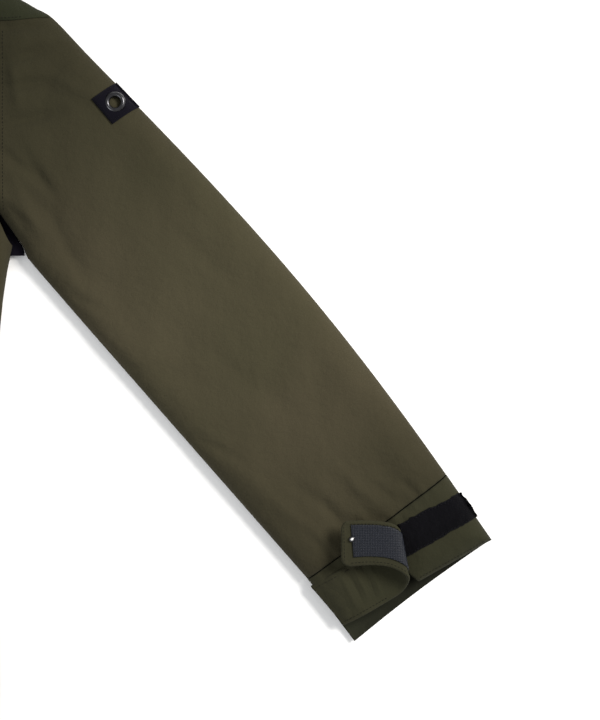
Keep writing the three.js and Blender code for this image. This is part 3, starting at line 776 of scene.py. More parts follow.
hookLook = mouldedLook("hookTape", (0.0065, 0.0080, 0.0125), 0.42, ribs=1.5 * mm, gloss=0.22)
nettingLook = netLook("veilNet", (0.006, 0.006, 0.006))
zipLook = mouldedLook("zipMoulding", (0.008, 0.008, 0.008), 0.45)
tapeLook = clothLook("zipTape", (0.008, 0.008, 0.007), (0.011, 0.011, 0.009), pitch=1.0 * mm, turn=0.8)
steelLook = metalLook("satinSteel", (0.42, 0.41, 0.39))
gunmetalLook = metalLook("gunmetal", (0.060, 0.060, 0.064), 0.26)
brightLook = metalLook("brightRivet", (0.80, 0.80, 0.78), 0.42)
print("materials made")


# Camera, light and floor.

view = {
    "lens": 100.0,
    "sensor": 36.0,
    "frameHeight": 662.4 * mm,
    "centre": (528.8 * mm, -45.8 * mm),
    "clothHeight": 22 * mm,
}
camera = bpy.data.objects.new("camera", bpy.data.cameras.new("camera"))
camera.data.lens = view["lens"]
camera.data.sensor_width = view["sensor"]
camera.data.clip_start = 0.05
distance = view["frameHeight"] * view["lens"] / view["sensor"]
camera.location = (*view["centre"], view["clothHeight"] + distance)
bpy.context.scene.collection.objects.link(camera)
bpy.context.scene.camera = camera


def addLight(name, where, aim, size, power, colour=(1, 1, 1)):
    lamp = bpy.data.objects.new(name, bpy.data.lights.new(name, "AREA"))
    lamp.data.shape = "DISK"
    lamp.data.size = size
    lamp.data.energy = power
    lamp.data.color = colour
    lamp.location = where
    lamp.rotation_euler = (Vector(aim) - Vector(where)).to_track_quat("-Z", "Y").to_euler()
    bpy.context.scene.collection.objects.link(lamp)


addLight("keyLight", (2.2, 0.9, 1.8), (0.5, -0.05, 0.0), 1.2, 106, (1.0, 0.97, 0.93))
addLight("fillLight", (-1.4, -1.2, 2.2), (0.3, 0.0, 0.0), 1.8, 30, (0.95, 0.98, 1.0))
world = bpy.data.worlds.new("studio")
world.use_nodes = True
world.node_tree.nodes["Background"].inputs["Color"].default_value = (1, 1, 1, 1)
world.node_tree.nodes["Background"].inputs["Strength"].default_value = 0.55
bpy.context.scene.world = world
bpy.context.scene.view_settings.view_transform = "Standard"


def addFloor():
    reach = 7.0
    floor = addMesh("floor", [(-reach, -reach, 0), (reach, -reach, 0), (reach, reach, 0), (-reach, reach, 0)],
                    [(0, 1, 2, 3)])
    floor.location.z = -0.6 * mm
    look, tree, shader, where = blankLook("paleFloor")
    tone = rampOf(tree, noiseAt(tree, where, 3.0), [(0.3, (0.93, 0.93, 0.93)), (0.7, (0.96, 0.96, 0.96))])
    tree.links.new(tone, shader.inputs["Base Color"])
    shader.inputs["Roughness"].default_value = 0.9
    floor.data.materials.append(look)


addFloor()
print("camera, light and floor set")


# Sleeves.

sleeve = {"step": 3.4 * mm, "bendTo": 38 * mm, "seam": 3.2 * mm, "stitchInset": 2.2 * mm}
sides = {"left": 1, "right": -1}
cuffSeam = 0.7 * mm  # how far the cuff stands off the sleeve, so that the seam reads as a line


def armholeBend(side):
    sign = sides[side]
    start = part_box(f"{side}_sleeve_under")[0][0] if sign > 0 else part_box(f"{side}_sleeve_under")[1][0]
    return ("body", f"sleeve_{side}", (start, 0, 0), (start + sign * sleeve["bendTo"], 0, 0))


def layCloth(name, run, top, look, slotName, nodes, body=None, blendTo=None, thick=None, step=5 * mm,
             flat=None, **more):
    piece = sewnSheet(name, run, top, thick or lie["cloth"], step, **more)
    give(piece, look, body, blendTo)
    if nodes:
        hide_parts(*nodes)
    return piece


def addStitches(name, runs, top, slotName, body=None, blendTo=None, look=None, **more):
    runs = [run for run in runs if len(run) > 1]
    if runs:
        give(stitches(name, runs, top, **more), look or threadLook, body, blendTo)


def onTop(rise=0.0):
    return lambda p: lieOfTop(p) + rise


def addSleeve(side):
    sign = sides[side]
    bendPlace = armholeBend(side)
    upper = rounded(flatOutlines(f"{side}_sleeve_upper")[0], sleeve["step"])
    under = rounded(floors[f"{side}_sleeve_under"], sleeve["step"] * 1.5)
    layCloth(f"{side}SleeveUpper", upper, lieOfTop, shellLook, "shell_cloth", [f"{side}_sleeve_upper"],
             blendTo=bendPlace, step=sleeve["step"], roll=1.0 * mm)
    layCloth(f"{side}SleeveUnder", under, lambda p: lieOfUnder(p) + lie["cloth"], shellLook, "shell_cloth",
             [f"{side}_sleeve_under"], blendTo=bendPlace, step=9 * mm, roll=0.1 * mm)
    cap = rounded(flatOutlines(f"{side}_shoulder_cap")[0], 3 * mm)
    layCloth(f"{side}ShoulderCap", cap, onTop(1.5 * mm), yokeLook, "yoke_cloth",
             [f"{side}_shoulder_cap"], blendTo=bendPlace, thick=0.8 * mm, step=4 * mm)
    capEdge = insetRun(cap, sleeve["stitchInset"], lambda x, y: y < shoulderTip.y - 1 * mm)
    addStitches(f"{side}CapStitches", capEdge, onTop(1.6 * mm), "yoke_cloth", blendTo=bendPlace)
    armhole = [np.array([(sign * (floorsLeftX + 5 * mm), y) for y in np.arange(0.092, 0.262, 0.004)])]
    addStitches(f"{side}ArmholeStitches", armhole, onTop(0.1 * mm), "shell_cloth", blendTo=bendPlace)


floorsLeftX = floors["left_sleeve_under"][:, 0].min()


# Cuffs: the front's hem, the loop tape, and the tab turned back on itself.

tab = {
    "thick": 2.2 * mm,
    "bead": 0.5 * mm,
    "corner": 8 * mm,
    "tapeThick": 1.3 * mm,
    "tapeInset": 10.4 * mm,
    "tapeAcross": (0.2, 0.91),
    "stitchAcross": (0.075, 0.925),
    "folds": ((0.17, 0.014, 0.9 * mm), (0.215, 0.010, -1.3 * mm), (0.255, 0.012, 1.2 * mm), (0.30, 0.010, -1.4 * mm),
              (0.34, 0.012, 1.0 * mm)),
    # back from the cuff's tip, across it, and either the rise over the cuff or the height, in millimetres
    "near": [(27.4, 155.0, 0.9, None), (23.9, 135.7, 1.6, None), (20.7, 118.2, 1.6, None), (17.8, 100.4, 2.0, None),
             (17.9, 92.5, 4.0, None), (20.4, 85.6, 8.0, None), (24.2, 81.6, None, 34.6), (30.0, 81.4, None, 38.4),
             (37.8, 84.0, None, 40.0), (46.8, 89.4, None, 40.6), (57.5, 100.4, None, 40.2),
             (67.0, 113.6, None, 39.4), (73.3, 121.2, None, 38.8)],
    "far": [(75.0, 155.4, 0.9, None), (71.6, 133.0, 1.5, None), (67.6, 113.0, 1.6, None), (61.8, 93.0, 1.7, None),
            (60.0, 84.0, 2.4, None), (60.2, 75.0, 4.0, None), (61.8, 63.6, None, 32.6), (65.4, 58.8, None, 37.0),
            (72.6, 60.0, None, 39.4), (82.4, 67.9, None, 40.6), (93.7, 80.3, None, 40.6),
            (100.5, 89.0, None, 40.0), (104.9, 94.6, None, 39.4)],
}


def tabEdge(rows, side):
    sign, points = sides[side], []
    for back, across, rise, height in rows:
        x, y = onSleeve(sleeveLength / mm - back, across, sign)
        z = lieOfTop(np.array([(x, y)]))[0] + rise * mm if height is None else height * mm
        points.append((x, y, z))
    return points


def addTab(side):
    sign = sides[side]
    strap = Strap(tabEdge(tab["near"], side), tabEdge(tab["far"], side), sign)
    bendPlace = (f"sleeve_{side}", f"tab_{side}", (0, 0, 27 * mm), (0, 0, 38.5 * mm))
    cloth = strap.piece(f"{side}CuffTab", tab["thick"], rows=128, cols=29, corner=tab["corner"], bead=tab["bead"],
                        folds=tab["folds"])
    give(cloth, cuffLook, blendTo=bendPlace)
    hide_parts(f"{side}_tab_root", f"{side}_tab_leaf")
    start, end = 0.47, 1 - tab["tapeInset"] / strap.length
    lift = -(tab["thick"] + tab["tapeThick"]) / 2 - 0.1 * mm
    tape = strap.piece(f"{side}HookTape", tab["tapeThick"], rows=60, cols=19, span=(start, end),
                       width=tab["tapeAcross"], lift=lift)
    give(tape, hookLook, blendTo=bendPlace)
    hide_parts(f"{side}_hook_tape")
    runs = []
    for u in tab["stitchAcross"]:
        for first, last, up in ((0.02, 0.36, 1), (0.62, 0.955, -1)):
            s = np.linspace(first, last, 60)[:, None] * np.ones((1, 3))
            across = u + np.array([[-0.01, 0.0, 0.01]]) * np.ones((60, 1))
            middle, normal = strap.grid(s, across)
            runs.append((middle + normal * up * (tab["thick"] / 2 + tab["bead"] * 0.7))[:, 1])
    endLine, u = 1 - 3.0 * mm / strap.length, np.linspace(0.1, 0.9, 24)
    s = endLine + np.array([[-0.005], [0.0], [0.005]]) * np.ones((1, 24))
    middle, normal = strap.grid(s, np.ones((3, 1)) * u[None, :])
    runs.append((middle - normal * (tab["thick"] / 2 + tab["bead"] * 0.7))[1])
    addStitches(f"{side}TabStitches", runs, None, "shell_cloth", blendTo=bendPlace)
    s, u = np.full((3, 3), end) + np.array([[-0.004], [0.0], [0.004]]), 0.6 + np.array([[-0.01, 0.0, 0.01]]) * np.ones((3, 1))
    middle, normal = strap.grid(s, u)
    x, y, z = middle[1, 1] - normal[1, 1] * (tab["thick"] / 2 + 0.2 * mm)
    z += 0.4 * mm
    washer = turnedShape([(0.9 * mm, 0), (2.6 * mm, 0), (2.5 * mm, 1.1 * mm), (1.6 * mm, 1.5 * mm),
                          (0.9 * mm, 1.1 * mm)], (x, y, z), 24, hollow=True)
    ring = give(shapesPiece(f"{side}RivetRing", [washer]), gunmetalLook, f"tab_{side}")
    head = turnedShape([(0.2 * mm, 0.2 * mm), (1.5 * mm, 0.2 * mm), (1.45 * mm, 1.5 * mm), (1.0 * mm, 2.0 * mm),
                        (0.2 * mm, 2.2 * mm)], (x, y, z), 20)
    give(shapesPiece(f"{side}RivetHead", [head]), brightLook, f"tab_{side}")
    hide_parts(f"{side}_tab_rivet")


def loopRun(side):  # carried on under the tab and over the arm's outer edge, with a ragged pile
    sign = sides[side]
    run = rounded(flatOutlines(f"{side}_loop_tape")[0], 1.6 * mm)
    tip = np.array(onSleeve(sleeveLength / mm, 0, sign))
    across = np.array([sign * sleeveCross.x, sleeveCross.y])
    share = (run - tip) @ across
    carried = np.where(share > 30 * mm, smooth((share - 30 * mm) / (20 * mm)) * 7 * mm, -smooth(-share / (4 * mm)) * 2 * mm)
    run = run + carried[:, None] * across
    ragged = ripple(run, 0.0022, 12.0) * 0.9 * mm + ripple(run, 0.009, 13.0) * 1.0 * mm
    way = np.roll(run, -1, axis=0) - np.roll(run, 1, axis=0)
    way /= np.linalg.norm(way, axis=1)[:, None]
    return run + np.stack([way[:, 1], -way[:, 0]], axis=1) * ragged[:, None]


def addCuff(side):
    body, sign = f"sleeve_{side}", sides[side]
    front = rounded(flatOutlines(f"{side}_cuff_front")[0], 2.4 * mm, corner=30)
    front = front + np.array([sign * sleeveRun.x, sleeveRun.y]) * cuffSeam
    back = rounded(floors[f"{side}_cuff_back"], 4 * mm)
    layCloth(f"{side}CuffFront", front, onTop(0.4 * mm), cuffLook, "shell_cloth",
             [f"{side}_cuff_front"], body, thick=1.6 * mm, step=2.8 * mm, roll=1.1 * mm)
    layCloth(f"{side}CuffBack", back, lambda p: lieOfUnder(p) + 1.6 * mm, darkCuffBackLook, "shell_cloth",
             [f"{side}_cuff_back"], body, thick=1.6 * mm, step=5 * mm)
    tape = loopRun(side)
    pile = lambda p: lieOfTop(p) + 2.5 * mm + 0.8 * mm * ripple(p, 0.0016, 5.0) + 0.6 * mm * ripple(p, 0.006, 6.0)
    layCloth(f"{side}LoopTape", tape, pile, loopLook, "loop_tape",
             [f"{side}_loop_tape"], body, thick=2.0 * mm, step=1.5 * mm, roll=1.0 * mm)
    hem = insetRun(front, 3.0 * mm, lambda x, y: nearest(np.array([(x, y)]), frontHem(side))[0][0] < 5 * mm)
    addStitches(f"{side}CuffStitches", hem, onTop(0.5 * mm), "shell_cloth", body)
    border = insetRun(tape, 1.6 * mm)
    addStitches(f"{side}LoopStitches", border, lambda p: lieOfTop(p) + 2.7 * mm, "loop_tape", body, look=trimLook)


def frontHem(side):
    run = flatOutlines(f"{side}_cuff_front")[0]
    parts = segmentsOf(run)
    tip = np.array(onSleeve(sleeveLength / mm, 0, sides[side]))
    middle = (parts[:, :2] + parts[:, 2:]) / 2 - tip
    back = -(middle @ np.array([sides[side] * sleeveRun.x, sleeveRun.y])) / mm
    way = parts[:, 2:] - parts[:, :2]
    way = np.abs(way @ np.array([sides[side] * sleeveRun.x, sleeveRun.y])) / np.linalg.norm(way, axis=1)
    return parts[(back < 40) & (way < 0.93)]


def addBadge():
    body = "sleeve_left"
    outline, hole = flatOutlines("left_sleeve_patch")
    square, bore = rounded(outline, 1.5 * mm), rounded(hole, 1.5 * mm)
    layCloth("sleevePatch", square, onTop(2.0 * mm), trimLook, "trim_cloth", ["left_sleeve_patch"], body,
             thick=1.4 * mm, step=2.2 * mm, holes=(bore[::-1],), roll=0.8 * mm)
    addStitches("patchStitches", insetRun(square, 2.4 * mm), onTop(2.05 * mm), "trim_cloth", body, look=trimLook)
    low, high = corners("left_sleeve_eyelet")
    x, y = (low.x + high.x) / 2, (low.y + high.y) / 2
    z = lieOfTop(np.array([(x, y)]))[0] + 1.9 * mm
    outer, inner, high = (high.x - low.x) / 2, 5.1 * mm, high.z - low.z
    profile = [(inner, -1.6 * mm), (inner + 0.3 * mm, high * 0.75), ((outer + inner) / 2 - 0.6 * mm, high),
               ((outer + inner) / 2 + 0.6 * mm, high), (outer - 0.5 * mm, high * 0.55), (outer, 0.1 * mm),
               (outer - 0.6 * mm, -0.2 * mm), (inner + 0.8 * mm, -0.2 * mm), (inner + 0.8 * mm, -1.6 * mm)]
    ring = shapesPiece("sleeveEyelet", [turnedShape(profile, (x, y, z), 48, hollow=True)])
    give(ring, gunmetalLook, body)
    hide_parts("left_sleeve_eyelet")


for side in sides:
    addSleeve(side)
    addCuff(side)
    addTab(side)
addBadge()
print("sleeves, cuffs and tabs laid")


# Body, hem band and collar.

trim = {"edgeStitch": 2.4 * mm, "secondRow": 8.5 * mm, "bandWave": 14 * mm}


def bandTop(p):
    return lieOfTop(p) + 0.7 * mm * np.sin(p[:, 0] / trim["bandWave"] * 2 * math.pi + 4 * ripple(p, 0.03, 8.0))


def gussetAndShadeRun(side):  # the CAD gusset carried on as painted shade: a dark sheet up to where the sleeve meets the armhole, where the shell cloth lies in shadow
    sign = sides[side]
    low, high = corners(f"underarm_gusset_{side}")
    inner, outer = sorted((abs(low.x), abs(high.x)))
    arm = floors["left_sleeve_under"]
    foot = arm[(arm[:, 0] < floorsLeftX + 1e-6) & (arm[:, 1] < 0.2)][0]
    run = np.array([(inner - 0.6 * mm, low.y), (outer, low.y), (outer - 2 * mm, high.y), (foot[0] + 0.6 * mm, foot[1]),
                    (foot[0] - 1.0 * mm, foot[1] - 2 * mm), (inner - 1.4 * mm, high.y)])
    return rounded(run if sign > 0 else (run * [-1, 1])[::-1], 1.8 * mm)


def addBody():
    back = rounded(floors["back_panel"], 8 * mm)
    layCloth("backPanel", back, lambda p: lieOfUnder(p) + lie["cloth"], shellLook, "shell_cloth",
             ["back_panel"], "body", step=14 * mm, roll=0.1 * mm)
    for node, name, look, step in (("hem_band_back", "hemBandBack", ribLook, 6), ("collar_back", "collarBack", shellLook, 5)):
        slotName = "rib_cloth" if look is ribLook else "shell_cloth"
        layCloth(name, rounded(floors[node], 5 * mm), lambda p: lieOfUnder(p) + lie["cloth"], look, slotName,
                 [node], "body", step=step * mm)
    for side in sides:
        label = side.title()
        front = rounded(flatOutlines(f"front_panel_{side}")[0], 5 * mm)
        layCloth(f"frontPanel{label}", front, lieOfTop, shellLook, "shell_cloth",
                 [f"front_panel_{side}"], "body", step=7 * mm, roll=0.9 * mm)
        yoke = rounded(flatOutlines(f"shoulder_yoke_{side}")[0], 4 * mm)
        layCloth(f"yoke{label}", yoke, onTop(1.5 * mm), yokeLook, "yoke_cloth",
                 [f"shoulder_yoke_{side}"], "body", step=5 * mm)
        addStitches(f"yokeStitches{label}", insetRun(yoke, trim["edgeStitch"]), onTop(1.6 * mm), "yoke_cloth", "body")
        band = rounded(flatOutlines(f"hem_band_front_{side}")[0], 4 * mm)
        layCloth(f"hemBandFront{label}", band, bandTop, ribLook, "rib_cloth",
                 [f"hem_band_front_{side}"], "body", step=4 * mm, thick=1.5 * mm, roll=0.9 * mm)
        collar = rounded(flatOutlines(f"collar_front_{side}")[0], 4 * mm)
        layCloth(f"collarFront{label}", collar, onTop(0.2 * mm), shellLook, "shell_cloth",
                 [f"collar_front_{side}"], "body", step=4 * mm, thick=1.5 * mm, roll=0.9 * mm)
        addStitches(f"collarStitches{label}", insetRun(collar, trim["edgeStitch"]), onTop(0.3 * mm),
                    "shell_cloth", "body")
        frontEdge = np.abs(front[:, 0]).min()
        rows = []
        for inset in (trim["edgeStitch"], trim["secondRow"]):
            rows += insetRun(front, inset, lambda x, y: abs(x) < frontEdge + inset + 1 * mm)
        band = corners(f"hem_band_front_{side}")[1].y
        rows += insetRun(front, trim["edgeStitch"], lambda x, y: y < band + 5 * mm)
        addStitches(f"frontStitches{label}", rows, onTop(0.1 * mm), "shell_cloth", "body")
        # painted shade: the dark gusset sheet also fills the shadowed gap between the body's side and the sleeve
        gussetAndShade = gussetAndShadeRun(side)
        level = lie["edgeTop"] - 0.7 * mm
        layCloth(f"gusset{label}", gussetAndShade, lambda p: level + 0.3 * mm * ripple(p, 0.006, 3.0), trimLook,
                 "trim_cloth", [f"underarm_gusset_{side}"], "body", thick=3 * mm, step=1.8 * mm)
    low, high = corners("hanger_loop")
    places = np.linspace(low.x, high.x, 9)
    lift = low.z + 1.2 * mm + 2.0 * mm * np.sin(np.linspace(0, math.pi, 9)) ** 2
    loop = Strap([(x, low.y, z) for x, z in zip(places, lift)], [(x, high.y, z) for x, z in zip(places, lift)])
    strip = give(loop.piece("hangerLoop", 1.2 * mm, rows=30, cols=7), trimLook, "body")
    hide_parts("hanger_loop")


addBody()
print("body laid")


# Front zip and the zip at the neck.

zipper = {"pitch": 2.6 * mm, "toothLong": 1.5 * mm, "toothReach": 3.8 * mm, "toothTall": 2.9 * mm,
          "neckPitch": 2.2 * mm}


def zipStrip(name, x0, x1, y0, y1, z, body, nodes, lengthways=True):
    count = 24
    if lengthways:
        near = [(x0, y, z) for y in np.linspace(y0, y1, count)]
        far = [(x1, y, z) for y in np.linspace(y0, y1, count)]
    else:
        near = [(x, y0, z) for x in np.linspace(x0, x1, count)]
        far = [(x, y1, z) for x in np.linspace(x0, x1, count)]
    strap = Strap(near, far)
    piece = give(strap.piece(name, 1.1 * mm, rows=count * 3, cols=9), tapeLook, body)
    if nodes:
        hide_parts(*nodes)
    return piece


def tooth(x, y, z, halfX, halfY, halfZ):
    return cushionShape((x - halfX, y - halfY, z - halfZ), (x + halfX, y + halfY, z + halfZ), 0.35 * mm, 2)


def addFrontZip():
    for side, sign in sides.items():
        low, high = corners(f"zip_tape_{side}")
        inner, outer = sorted((abs(low.x), abs(high.x)))
        z = (low.z + high.z) / 2
        edges = sorted((sign * (inner + 1.4 * mm), sign * outer))
        zipStrip(f"zipTape{side.title()}", edges[0], edges[1], low.y, high.y, z, "body", [f"zip_tape_{side}"])
        start = corners("zip_retainer_box")[1].y + 1 * mm
        count = int((high.y - start) / zipper["pitch"])
        reach = zipper["toothReach"] / 2
        middle = sign * (inner + 0.9 * mm)
        offset = 0.0 if sign > 0 else zipper["pitch"] / 2
        teeth = [tooth(middle, start + (k + 0.5) * zipper["pitch"] + offset, z, reach,
                       zipper["toothLong"] / 2, zipper["toothTall"] / 2) for k in range(count - 1)]
        give(shapesPiece(f"zipTeeth{side.title()}", teeth), zipLook, "body")
    low, high = corners("zip_retainer_box")
    box = [cushionShape((low.x, low.y, (low.z + high.z) / 2 - 0.4 * mm), (high.x, high.y, high.z), 0.7 * mm),
           cushionShape((low.x, low.y, low.z), (high.x, high.y, (low.z + high.z) / 2 - 1.2 * mm), 0.6 * mm),
           cushionShape((-1 * mm, low.y + 1 * mm, low.z + 1 * mm), (1 * mm, high.y - 1 * mm, high.z - 1 * mm), 0.3 * mm)]
    piece = give(shapesPiece("zipRetainerBox", box), zipLook, "body")
    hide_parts("zip_retainer_box")
    low, high = corners("wind_flap")
    flap = rounded(np.array([(low.x, low.y), (high.x, low.y), (high.x, high.y), (low.x, high.y)]), 6 * mm)
    layCloth("windFlap", flap, lambda p: high.z + 0.5 * mm * np.minimum(0, ripple(p, 0.05, 3.0)), shellLook,
             "shell_cloth", ["wind_flap"], "body", step=7 * mm)
    addStitches("windFlapStitches", insetRun(flap, trim["edgeStitch"]), lambda p: np.full(len(p), high.z + 0.05 * mm),
                "shell_cloth", "body")


def sliderPlate(low, high, z0, z1):  # a slider's plate, wider at its mouth than at its tail
    middle = (low.x + high.x) / 2
    sections = []
    for z, inset in ((z0, 0.4), (z0 + 0.4 * mm, 0.0), (z1 - 0.5 * mm, 0.0), (z1, 0.7)):
        run = []
        for t in np.linspace(0, 1, 9):
            half = (high.x - middle) * (0.74 + 0.26 * smooth(t)) - inset * mm
            run.append((middle + half, low.y + (high.y - low.y) * t))
        ring = run + [(2 * middle - x, y) for x, y in run[::-1]]
        sections.append([(x, y, z) for x, y in ring])
    return loftShape(sections)


def addSlider():
    low, high = corners("zip_slider")
    thick, lugs = 1.6 * mm, 3.0 * mm
    deck = high.z - lugs
    shapes = [sliderPlate(low, high, deck - thick, deck), sliderPlate(low, high, low.z, low.z + thick)]
    shapes.append(cushionShape((-0.5 * mm, high.y - 4 * mm, low.z + 1 * mm), (0.5 * mm, high.y - 0.3 * mm, deck - 0.6 * mm),
                               0.2 * mm))
    middleY = (low.y + high.y) / 2
    for sign in (1, -1):
        edge = sign * (high.x - 1.8 * mm)
        lug = sorted((edge, edge - sign * 1.4 * mm))
        shapes.append(cushionShape((lug[0], middleY - 1.9 * mm, deck - 0.4 * mm), (lug[1], middleY + 1.9 * mm, high.z),
                                   0.4 * mm))
    slider = give(shapesPiece("zipSlider", shapes), steelLook, "zip_slider")
    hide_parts("zip_slider")
    low, high = corners("zip_pull")
    top, z = high.y - 1.1 * mm, high.z - 1.1 * mm
    half = (high.x - low.x) / 2
    arc = [(math.cos(a), math.sin(a)) for a in np.linspace(0, math.pi, 9)]
    hoop = [(0.55 * half * c, top - 3.5 * mm + 4.0 * mm * q, z) for c, q in arc]
    hoop = [(hoop[0][0], top - 9 * mm, z)] + hoop + [(hoop[-1][0], top - 9 * mm, z)]
    grip = Strap([(-half * w, y, z) for y, w in ((top - 8 * mm, 0.6), (top - 14 * mm, 0.72), (top - 22 * mm, 0.9),
                                                 (low.y, 1.0))],
                 [(half * w, y, z) for y, w in ((top - 8 * mm, 0.6), (top - 14 * mm, 0.72), (top - 22 * mm, 0.9),
                                                (low.y, 1.0))])
    body = grip.piece("zipPull", 1.7 * mm, rows=30, cols=9, corner=2.0 * mm)
    give(body, steelLook, "zip_pull")
    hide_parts("zip_pull")
    give(shapesPiece("zipPullHoop", [tubeShape(hoop, 0.75 * mm)]), steelLook, "zip_pull")


def addNeckZip():
    for node, name, body, up in (("neck_zip_collar_half", "neckZipCollarHalf", "body", 1),
                                 ("neck_zip_hood_half", "neckZipHoodHalf", "hood", -1)):
        low, high = corners(node)
        z = (low.z + high.z) / 2
        zipStrip(name, low.x, high.x, low.y, high.y, z, body, [node], lengthways=False)
        count = int((high.x - low.x) / zipper["neckPitch"]) - 1
        mouth = high.y if up > 0 else low.y
        shift = 0 if up > 0 else zipper["neckPitch"] / 2
        teeth = [tooth(low.x + (k + 0.7) * zipper["neckPitch"] + shift, mouth - up * 0.1 * mm, z + 0.1 * mm, 0.55 * mm,
                       1.2 * mm, 1.1 * mm) for k in range(count)]
        give(shapesPiece(f"{name}Teeth", teeth), zipLook, body)


addFrontZip()
addSlider()
addNeckZip()
print("zips made")


# Pockets, their flaps and press studs.

pocket = {"swell": 13 * mm, "rootDepth": 9.6 * mm, "bendDepth": 13 * mm, "cloth": 1.2 * mm}


def addPocket(side):
    label, sign = side.title(), sides[side]
    low, high = corners(f"pocket_bag_{side}")
    outline = rounded(np.array([(low.x, low.y), (high.x, low.y), (high.x, high.y), (low.x, high.y)]), 3 * mm)
    full = high.z

    def bagTop(p):
        sideGap = np.minimum(p[:, 0] - low.x, high.x - p[:, 0])
        gap = np.minimum(sideGap, p[:, 1] - low.y)
        base = lieOfTop(p) + 1.3 * mm
        slack = 0.8 * mm * ripple(p, 0.035, 9.0) - 0.5 * mm
        return base + (full + slack - base) * np.sqrt(smooth(gap / pocket["swell"]))

    bag = layCloth(f"pocketBag{label}", outline, bagTop, shellLook, "shell_cloth", [f"pocket_bag_{side}"], "body",
                   thick=pocket["cloth"], step=4 * mm, flat=(high.x - low.x + 14 * mm, high.y - low.y + 9 * mm))
    seams = insetRun(outline, trim["edgeStitch"]) + insetRun(outline, trim["secondRow"])
    addStitches(f"pocketStitches{label}", seams, lambda p: bagTop(p) + 0.05 * mm, "shell_cloth", "body")
    low, high = corners(f"pocket_flap_{side}")
    root = high.y + pocket["rootDepth"]
    flap = np.array([(low.x, low.y + 8 * mm), (low.x + 8 * mm, low.y), (high.x - 8 * mm, low.y),
                     (high.x, low.y + 8 * mm), (high.x, root), (low.x, root)])
    flap = rounded(flap, 3 * mm, corner=50)
    level = high.z

    def flapTop(p):
        rise = smooth((root - p[:, 1]) / pocket["bendDepth"])
        base = lieOfTop(p) + 1.6 * mm
        return base + (level - base) * rise + 0.35 * mm * np.minimum(0, ripple(p, 0.03, 7.0)) * rise

    place = ("body", f"flap_{side}", (0, root - 1 * mm, 0), (0, root - pocket["bendDepth"], 0))
    layCloth(f"pocketFlap{label}", flap, flapTop, shellLook, "shell_cloth", [f"pocket_flap_{side}"],
             blendTo=place, thick=1.4 * mm, step=3.6 * mm,
             flat=(high.x - low.x, root - low.y + 5 * mm))
    seams = insetRun(flap, trim["edgeStitch"]) + insetRun(flap, trim["secondRow"], lambda x, y: y < root - 12 * mm)
    addStitches(f"flapStitches{label}", seams, lambda p: flapTop(p) + 0.05 * mm, "shell_cloth", blendTo=place)
    for node, name, body in ((f"press_stud_{side}", f"pressStud{label}", "body"),
                             (f"press_cap_{side}", f"pressCap{label}", f"flap_{side}")):
        low, high = corners(node)
        r, h = (high.x - low.x) / 2, high.z - low.z
        where = ((low.x + high.x) / 2, (low.y + high.y) / 2, low.z)
        if "stud" in node:
            profile = [(r * 0.6, 0), (r, 0.1 * h), (r, 0.3 * h), (r * 0.55, 0.45 * h), (r * 0.4, 0.95 * h), (r * 0.15, h)]
        else:
            profile = [(r * 0.5, 0), (r, 0.15 * h), (r, 0.45 * h), (r * 0.82, 0.95 * h), (r * 0.6, 0.8 * h), (r * 0.2, 0.9 * h)]
        button = give(shapesPiece(name, [turnedShape(profile, where, 32)]), gunmetalLook, body)
        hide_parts(node)


for side in sides:
    addPocket(side)
print("pockets made")


# Hood, veil and its two hoops.

veil = {"bindingRise": 2.0 * mm, "sag": 2.2 * mm, "hoopWrap": 3.2 * mm}


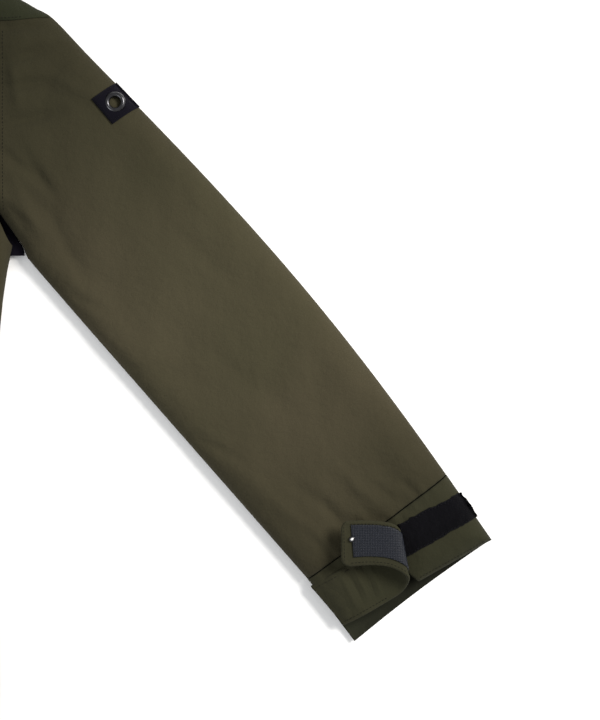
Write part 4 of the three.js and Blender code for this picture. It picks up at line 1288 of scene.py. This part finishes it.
def addHood():
    back = rounded(floors["hood_back"], 7 * mm)
    layCloth("hoodBack", back, lambda p: lieOfUnder(p) + lie["cloth"], shellLook, "shell_cloth",
             ["hood_back"], "hood", step=12 * mm, roll=0.1 * mm)
    outline, face = flatOutlines("hood_front")
    outline, face = rounded(outline, 5 * mm), rounded(face, 4 * mm)
    layCloth("hoodFront", outline, lieOfTop, shellLook, "shell_cloth", ["hood_front"], "hood",
             step=6 * mm, holes=(face[::-1],), roll=0.9 * mm)
    addStitches("hoodStitches", insetRun(outline, 4 * mm, lambda x, y: y < 0.42), onTop(0.1 * mm), "shell_cloth", "hood")
    net = rounded(flatOutlines("veil_mesh")[0], 5 * mm)
    low, high = corners("veil_mesh")
    middle = (low + high) / 2

    def netTop(p):
        share = 1 - ((p[:, 0] - middle.x) / (high.x - low.x) * 2) ** 2 - ((p[:, 1] - middle.y) / (high.y - low.y) * 2) ** 2
        return lieOfTop(p) - 0.3 * mm + 1.2 * mm * np.sqrt(np.maximum(share, 0)) * (0.4 + ripple(p, 0.06, 11.0))

    layCloth("veilNet", net, netTop, nettingLook, "netting", ["veil_mesh"], "hood", thick=0.5 * mm, step=6 * mm,
             roll=0.1 * mm)
    outer, inner = flatOutlines("veil_binding")
    outer, inner = rounded(outer, 3 * mm), rounded(inner, 3 * mm)
    centre = (outer.max(axis=0) + outer.min(axis=0)) / 2
    half = (outer.max(axis=0) - outer.min(axis=0)) / 2
    reach = half - (inner.max(axis=0) - inner.min(axis=0)) / 2

    def bindingTop(p):
        place = np.linalg.norm((p - centre) / (half - reach / 2), axis=1) - 1
        share = np.clip(place * half.mean() / (reach.mean() / 2), -1, 1)
        return lieOfTop(p) + veil["bindingRise"] * np.sqrt(1 - 0.6 * share**2) + 0.3 * mm

    around = 2 * math.pi * math.sqrt(((half - reach / 2) ** 2).mean())
    layCloth("veilBinding", outer, bindingTop, trimLook, "trim_cloth", ["veil_binding"], "hood", thick=1.4 * mm,
             step=2.4 * mm, holes=(inner[::-1],), flat=(float(reach.mean()), around))
    rows = [centre + (half - reach * share) * np.column_stack([np.cos(t), np.sin(t)])
            for share in (0.2, 0.8) for t in [np.linspace(0, 2 * math.pi, 240)]]
    addStitches("bindingStitches", rows, lambda p: bindingTop(p) + 0.05 * mm, "trim_cloth", "hood", look=trimLook)
    for node, name in (("veil_hoop_upper", "veilHoopUpper"), ("veil_hoop_lower", "veilHoopLower")):
        low, high = corners(node)
        z, y0, y1 = (low.z + high.z) / 2, low.y + 1.4 * mm, high.y - 1.4 * mm
        xs = np.linspace(low.x + 1 * mm, high.x - 1 * mm, 40)
        t = (xs - xs[0]) / (xs[-1] - xs[0])
        path = np.column_stack([xs, y0 + (y1 - y0) * 4 * t * (1 - t), np.full(40, z)])
        ends = [turnedShape([(0.3 * mm, -0.1 * mm), (1.6 * mm, 0), (1.6 * mm, 2.6 * mm), (0.3 * mm, 2.8 * mm)],
                            (p[0], p[1], z - 1.3 * mm), 16) for p in (path[0], path[-1])]
        hoop = give(shapesPiece(name, [tubeShape(path, 1.25 * mm, 10), *ends]), steelLook, "hood")
        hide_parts(node)


addHood()
print("hood made")
